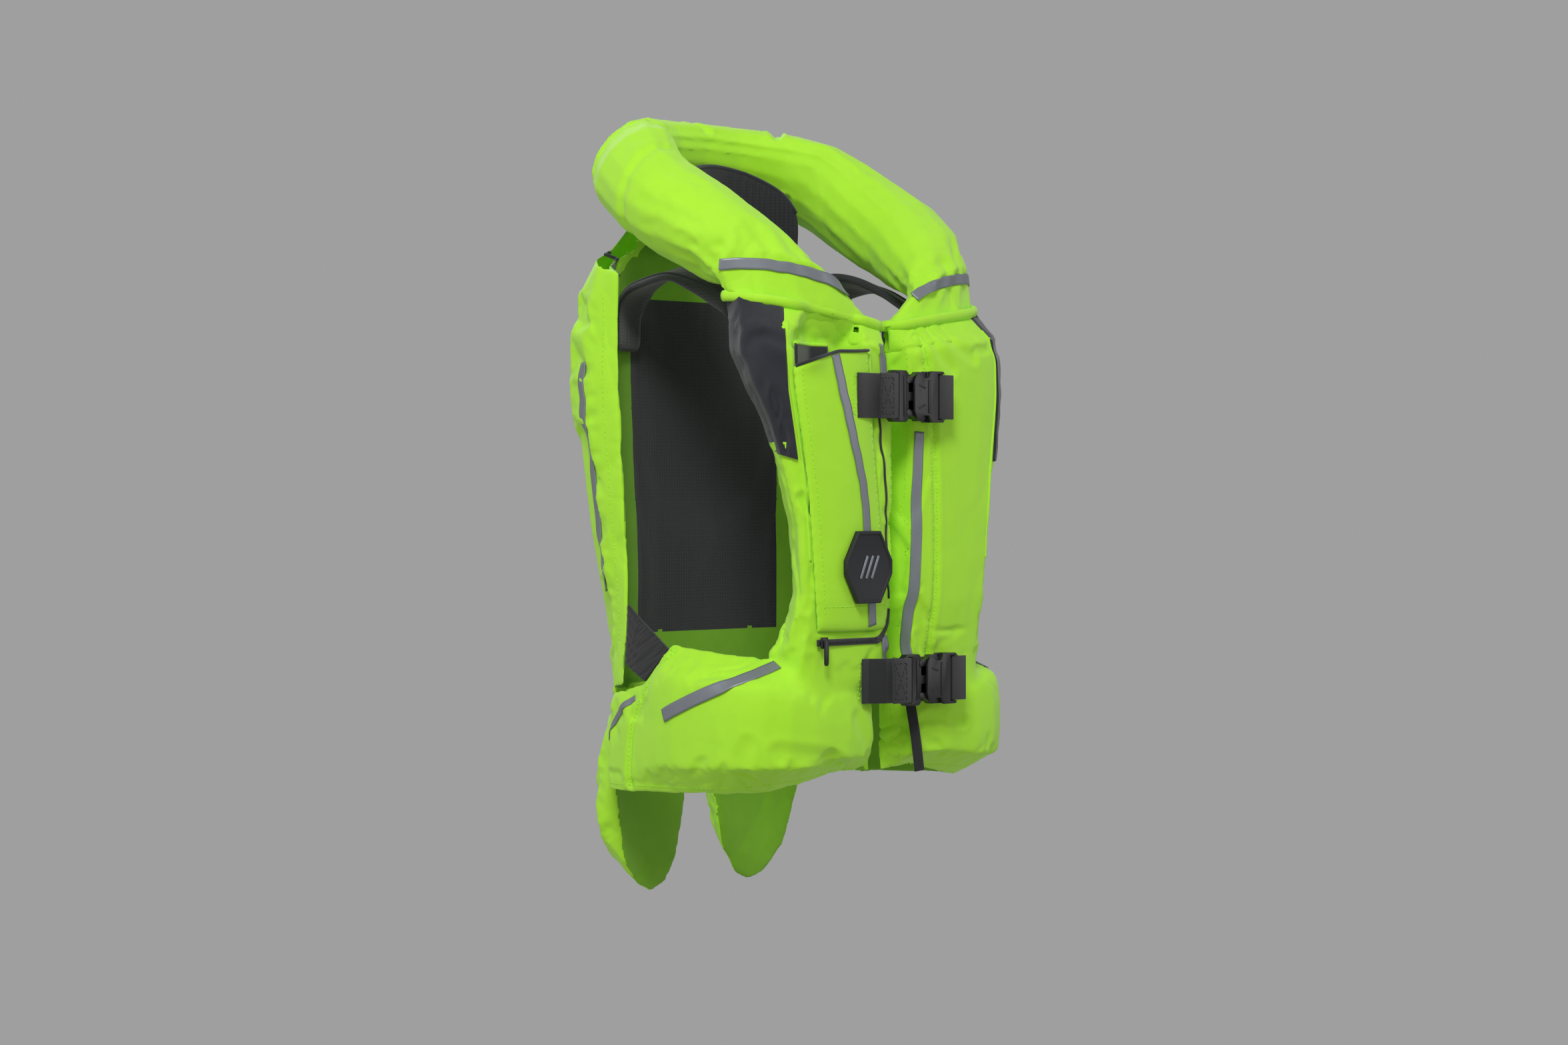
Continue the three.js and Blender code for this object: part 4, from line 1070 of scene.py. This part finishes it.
# ---- zip: tape, teeth, slider and puller ----
ZIP_Z, ZIP_Y = -0.342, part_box("pocket_zip")[0].y
rounded("pocket_zip_tape", "pocket_zip", "zip_tape", VEST, 0.5 * MM)
verts, faces = [], []
TOOTH_START, TOOTH_PITCH, TEETH = -0.104, 1.6 * MM, 44
for k in range(TEETH):
    x = TOOTH_START + k * TOOTH_PITCH
    base = len(verts)
    for dx in (-0.45, 0.45):
        for dy, dz in ((0, -1.6), (-0.22, -1.2), (-0.22, 1.2), (0, 1.6)):
            verts.append((x + dx * MM, ZIP_Y + dy * MM, ZIP_Z + dz * MM))
    faces += [(base + 3, base + 2, base + 1, base), (base + 4, base + 5, base + 6, base + 7)]
    faces += [(base + i, base + (i + 1) % 4, base + 4 + (i + 1) % 4, base + 4 + i) for i in range(4)]
teeth = mesh_from("zip_teeth", verts, faces)
tidy_normals(teeth)
finish_piece(teeth, "buckle_plastic", VEST)
rounded("zip_slider_body", "zip_slider", "buckle_plastic", "zip_slider", 0.9 * MM)
rounded("zip_pull", "zip_puller", "buckle_plastic", "zip_puller", 0.45 * MM, 2)
# the zip's tape turns up round the pocket's corner, a quarter of an oval
corner_turns = [t * math.pi / 2 for t in np.linspace(0, 1, 16)]
zip_curve = [Vector((-0.033 + 0.02 * math.sin(t), -0.149, ZIP_Z + 0.028 * (1 - math.cos(t))))
             for t in corner_turns]
rail("zip_tape_turn", snapped(right, zip_curve), flat_section(6 * MM, 1.2 * MM), "zip_tape", lift=0.5 * MM)
rail("zip_edge_line", on_surface(right, [(5.2, -305), (6.5, -250), (8.5, -190), (12, -135)]),
     flat_section(2 * MM, 0.8 * MM, 2), "zip_tape", lift=0.4 * MM)

# ---- pads, liner and elastic ----
def plump(name, node, body, slot, levels, swell, seed):
    """A quilted pad: the CAD solid filled out a little between its edges."""
    piece = refined(name, node, levels, True)
    ease(piece, 1, 0.3)
    points, directions = coordinates(piece), normals(piece)
    offset = Vector((seed, seed * 2, seed * 3))
    for index, p in enumerate(points):
        points[index] += directions[index] * swell * noise.noise(Vector(p * 38) + offset)
    set_coordinates(piece, points)
    finish_piece(piece, slot, body, [node])
    return piece


for side, sign in SIDES:
    pad = plump(f"pad_{side}", f"shoulder_pad_{side}", VEST, "padded_mesh", 3, 0.7 * MM, 3 * sign)
    pad_tree = tree_of(pad)
    for edge in (89, 139):
        line = []
        for k in range(61):
            t = math.pi * (0.02 + 0.96 * k / 60)
            guess = Vector((-sign * edge * MM, -math.cos(t) * 0.112, -0.09 + math.sin(t) * 0.10))
            line.append(pad_tree.find_nearest(guess)[0])
        rail(f"pad_binding_{side}_{edge}", snapped(pad_tree, line), round_section(1.6 * MM), "softshell")

liner = plump("liner", "neck_liner", VEST, "padded_mesh", 3, 0.8 * MM, 9)
liner_tree = tree_of(liner)
rim = []
for k in range(49):
    a = math.radians(180 - 58 + 116 * k / 48)
    top = 58 + (101 - 58) * math.sin(math.pi * k / 48) ** 0.6
    rim.append(Vector((-math.sin(a) * 0.087, 0.008 - math.cos(a) * 0.087, top * MM)))
rail("liner_binding", snapped(liner_tree, rim), round_section(2.2 * MM), "softshell")

for side, sign in SIDES:
    elastic = refined(f"elastic_{side}", f"side_elastic_{side}", 3)
    points = coordinates(elastic)
    radial = points * [1, 1, 0]
    radial /= np.linalg.norm(radial, axis=1, keepdims=True)
    ripple = np.sin(points[:, 2] * 900 + points[:, 1] * 500) * 0.25 * MM
    set_coordinates(elastic, points + radial * ripple[:, None])
    finish_piece(elastic, "webbing", VEST, [f"side_elastic_{side}"])

# ---- bound edges and the tubes that cover the seams between chambers ----
waist = []
for angle in np.linspace(116, 244, 80):
    steps = np.arange(-0.366, -0.430, -0.5 * MM)
    above = [(z, reach_at(back_tree, angle, z)) for z in steps]
    below = [(z, reach_at(trees["tail"], angle, z)) for z in steps]
    above, below = [e for e in above if e[1]], [e for e in below if e[1]]
    if above and below:
        (low, _), (high, _) = above[-1], below[0]
        reach = (reach_at(back_tree, angle, low + 6 * MM) + reach_at(trees["tail"], angle, high - 6 * MM)) / 2
        waist.append((outward(angle) * (reach - 1.5 * MM) + Vector((0, 0, (low + high) / 2)), outward(angle)))
if len(waist) > 3:
    waist = swept(waist, 5)
    oval = oval_section(7 * MM, 3 * MM)
    rail("waist_seam_outside", waist, oval, "neon_twill")
    rail("waist_seam_inside", [(p - n * 14 * MM, n) for p, n in waist], oval, "neon_twill")
for side, sign in SIDES:
    band = []
    for k in range(61):
        angle = 4 + 59 * k / 60
        z = -0.062 + 0.025 * min(1, angle / 60)
        reach = max(reach_at(trees["collar"], sign * angle, z + 8 * MM) or 0,
                    reach_at(trees[f"front_{side}"], sign * angle, z - 7 * MM) or 0)
        if reach:
            way = outward(sign * angle)
            band.append((way * (reach - 2.2 * MM) + Vector((0, 0, z)), way))
    rail(f"collar_join_{side}", band, oval_section(5 * MM, 3.4 * MM), "neon_twill")
    inner = [(p - n * 15 * MM, n) for p, n in band]
    rail(f"collar_join_inside_{side}", inner, round_section(5 * MM), "neon_twill")
back_rim = [(112, -12), (120, -5), (130, 3), (139, 12)]
for side, sign in SIDES:
    guess = [outward(a if sign > 0 else 360 - a) * 0.16 + Vector((0, 0, z * MM)) for a, z in curved(back_rim)]
    rail(f"back_binding_{side}", snapped(back_tree, guess), round_section(1.7 * MM), "softshell")
hang = [Vector((0.019 + 0.012 * t * t, -0.142 - 0.004 * math.sin(3 * t), -0.398 - 0.064 * t))
        for t in np.linspace(0, 1, 24)]
hang_face = Vector((-0.6, -0.8, 0)).normalized()
rail("front_zip_tail", [(p, hang_face) for p in hang], flat_section(9 * MM, 1.4 * MM), "zip_tape")
rail("rear_tape_right", on_surface(right, [(103, -396), (112, -412), (122, -436)]),
     flat_section(6 * MM, TAPE_THICK), "reflective_tape", lift=0.6 * MM)
for side, sign in SIDES:
    places = [(sign * a, z) for a, z in ((44.2, -60), (43.6, -110), (39.6, -200), (37.8, -270))]
    edge = on_surface(trees[f"front_{side}"], places)
    rail(f"insert_piping_{side}", edge, round_section(1.3 * MM), "neon_twill")

# ---- what is left of the CAD shows with its own material ----
for name, node in nodes.items():
    if not node.hide_render:
        node.data.materials.clear()
        node.data.materials.append(materials[slots[name]])
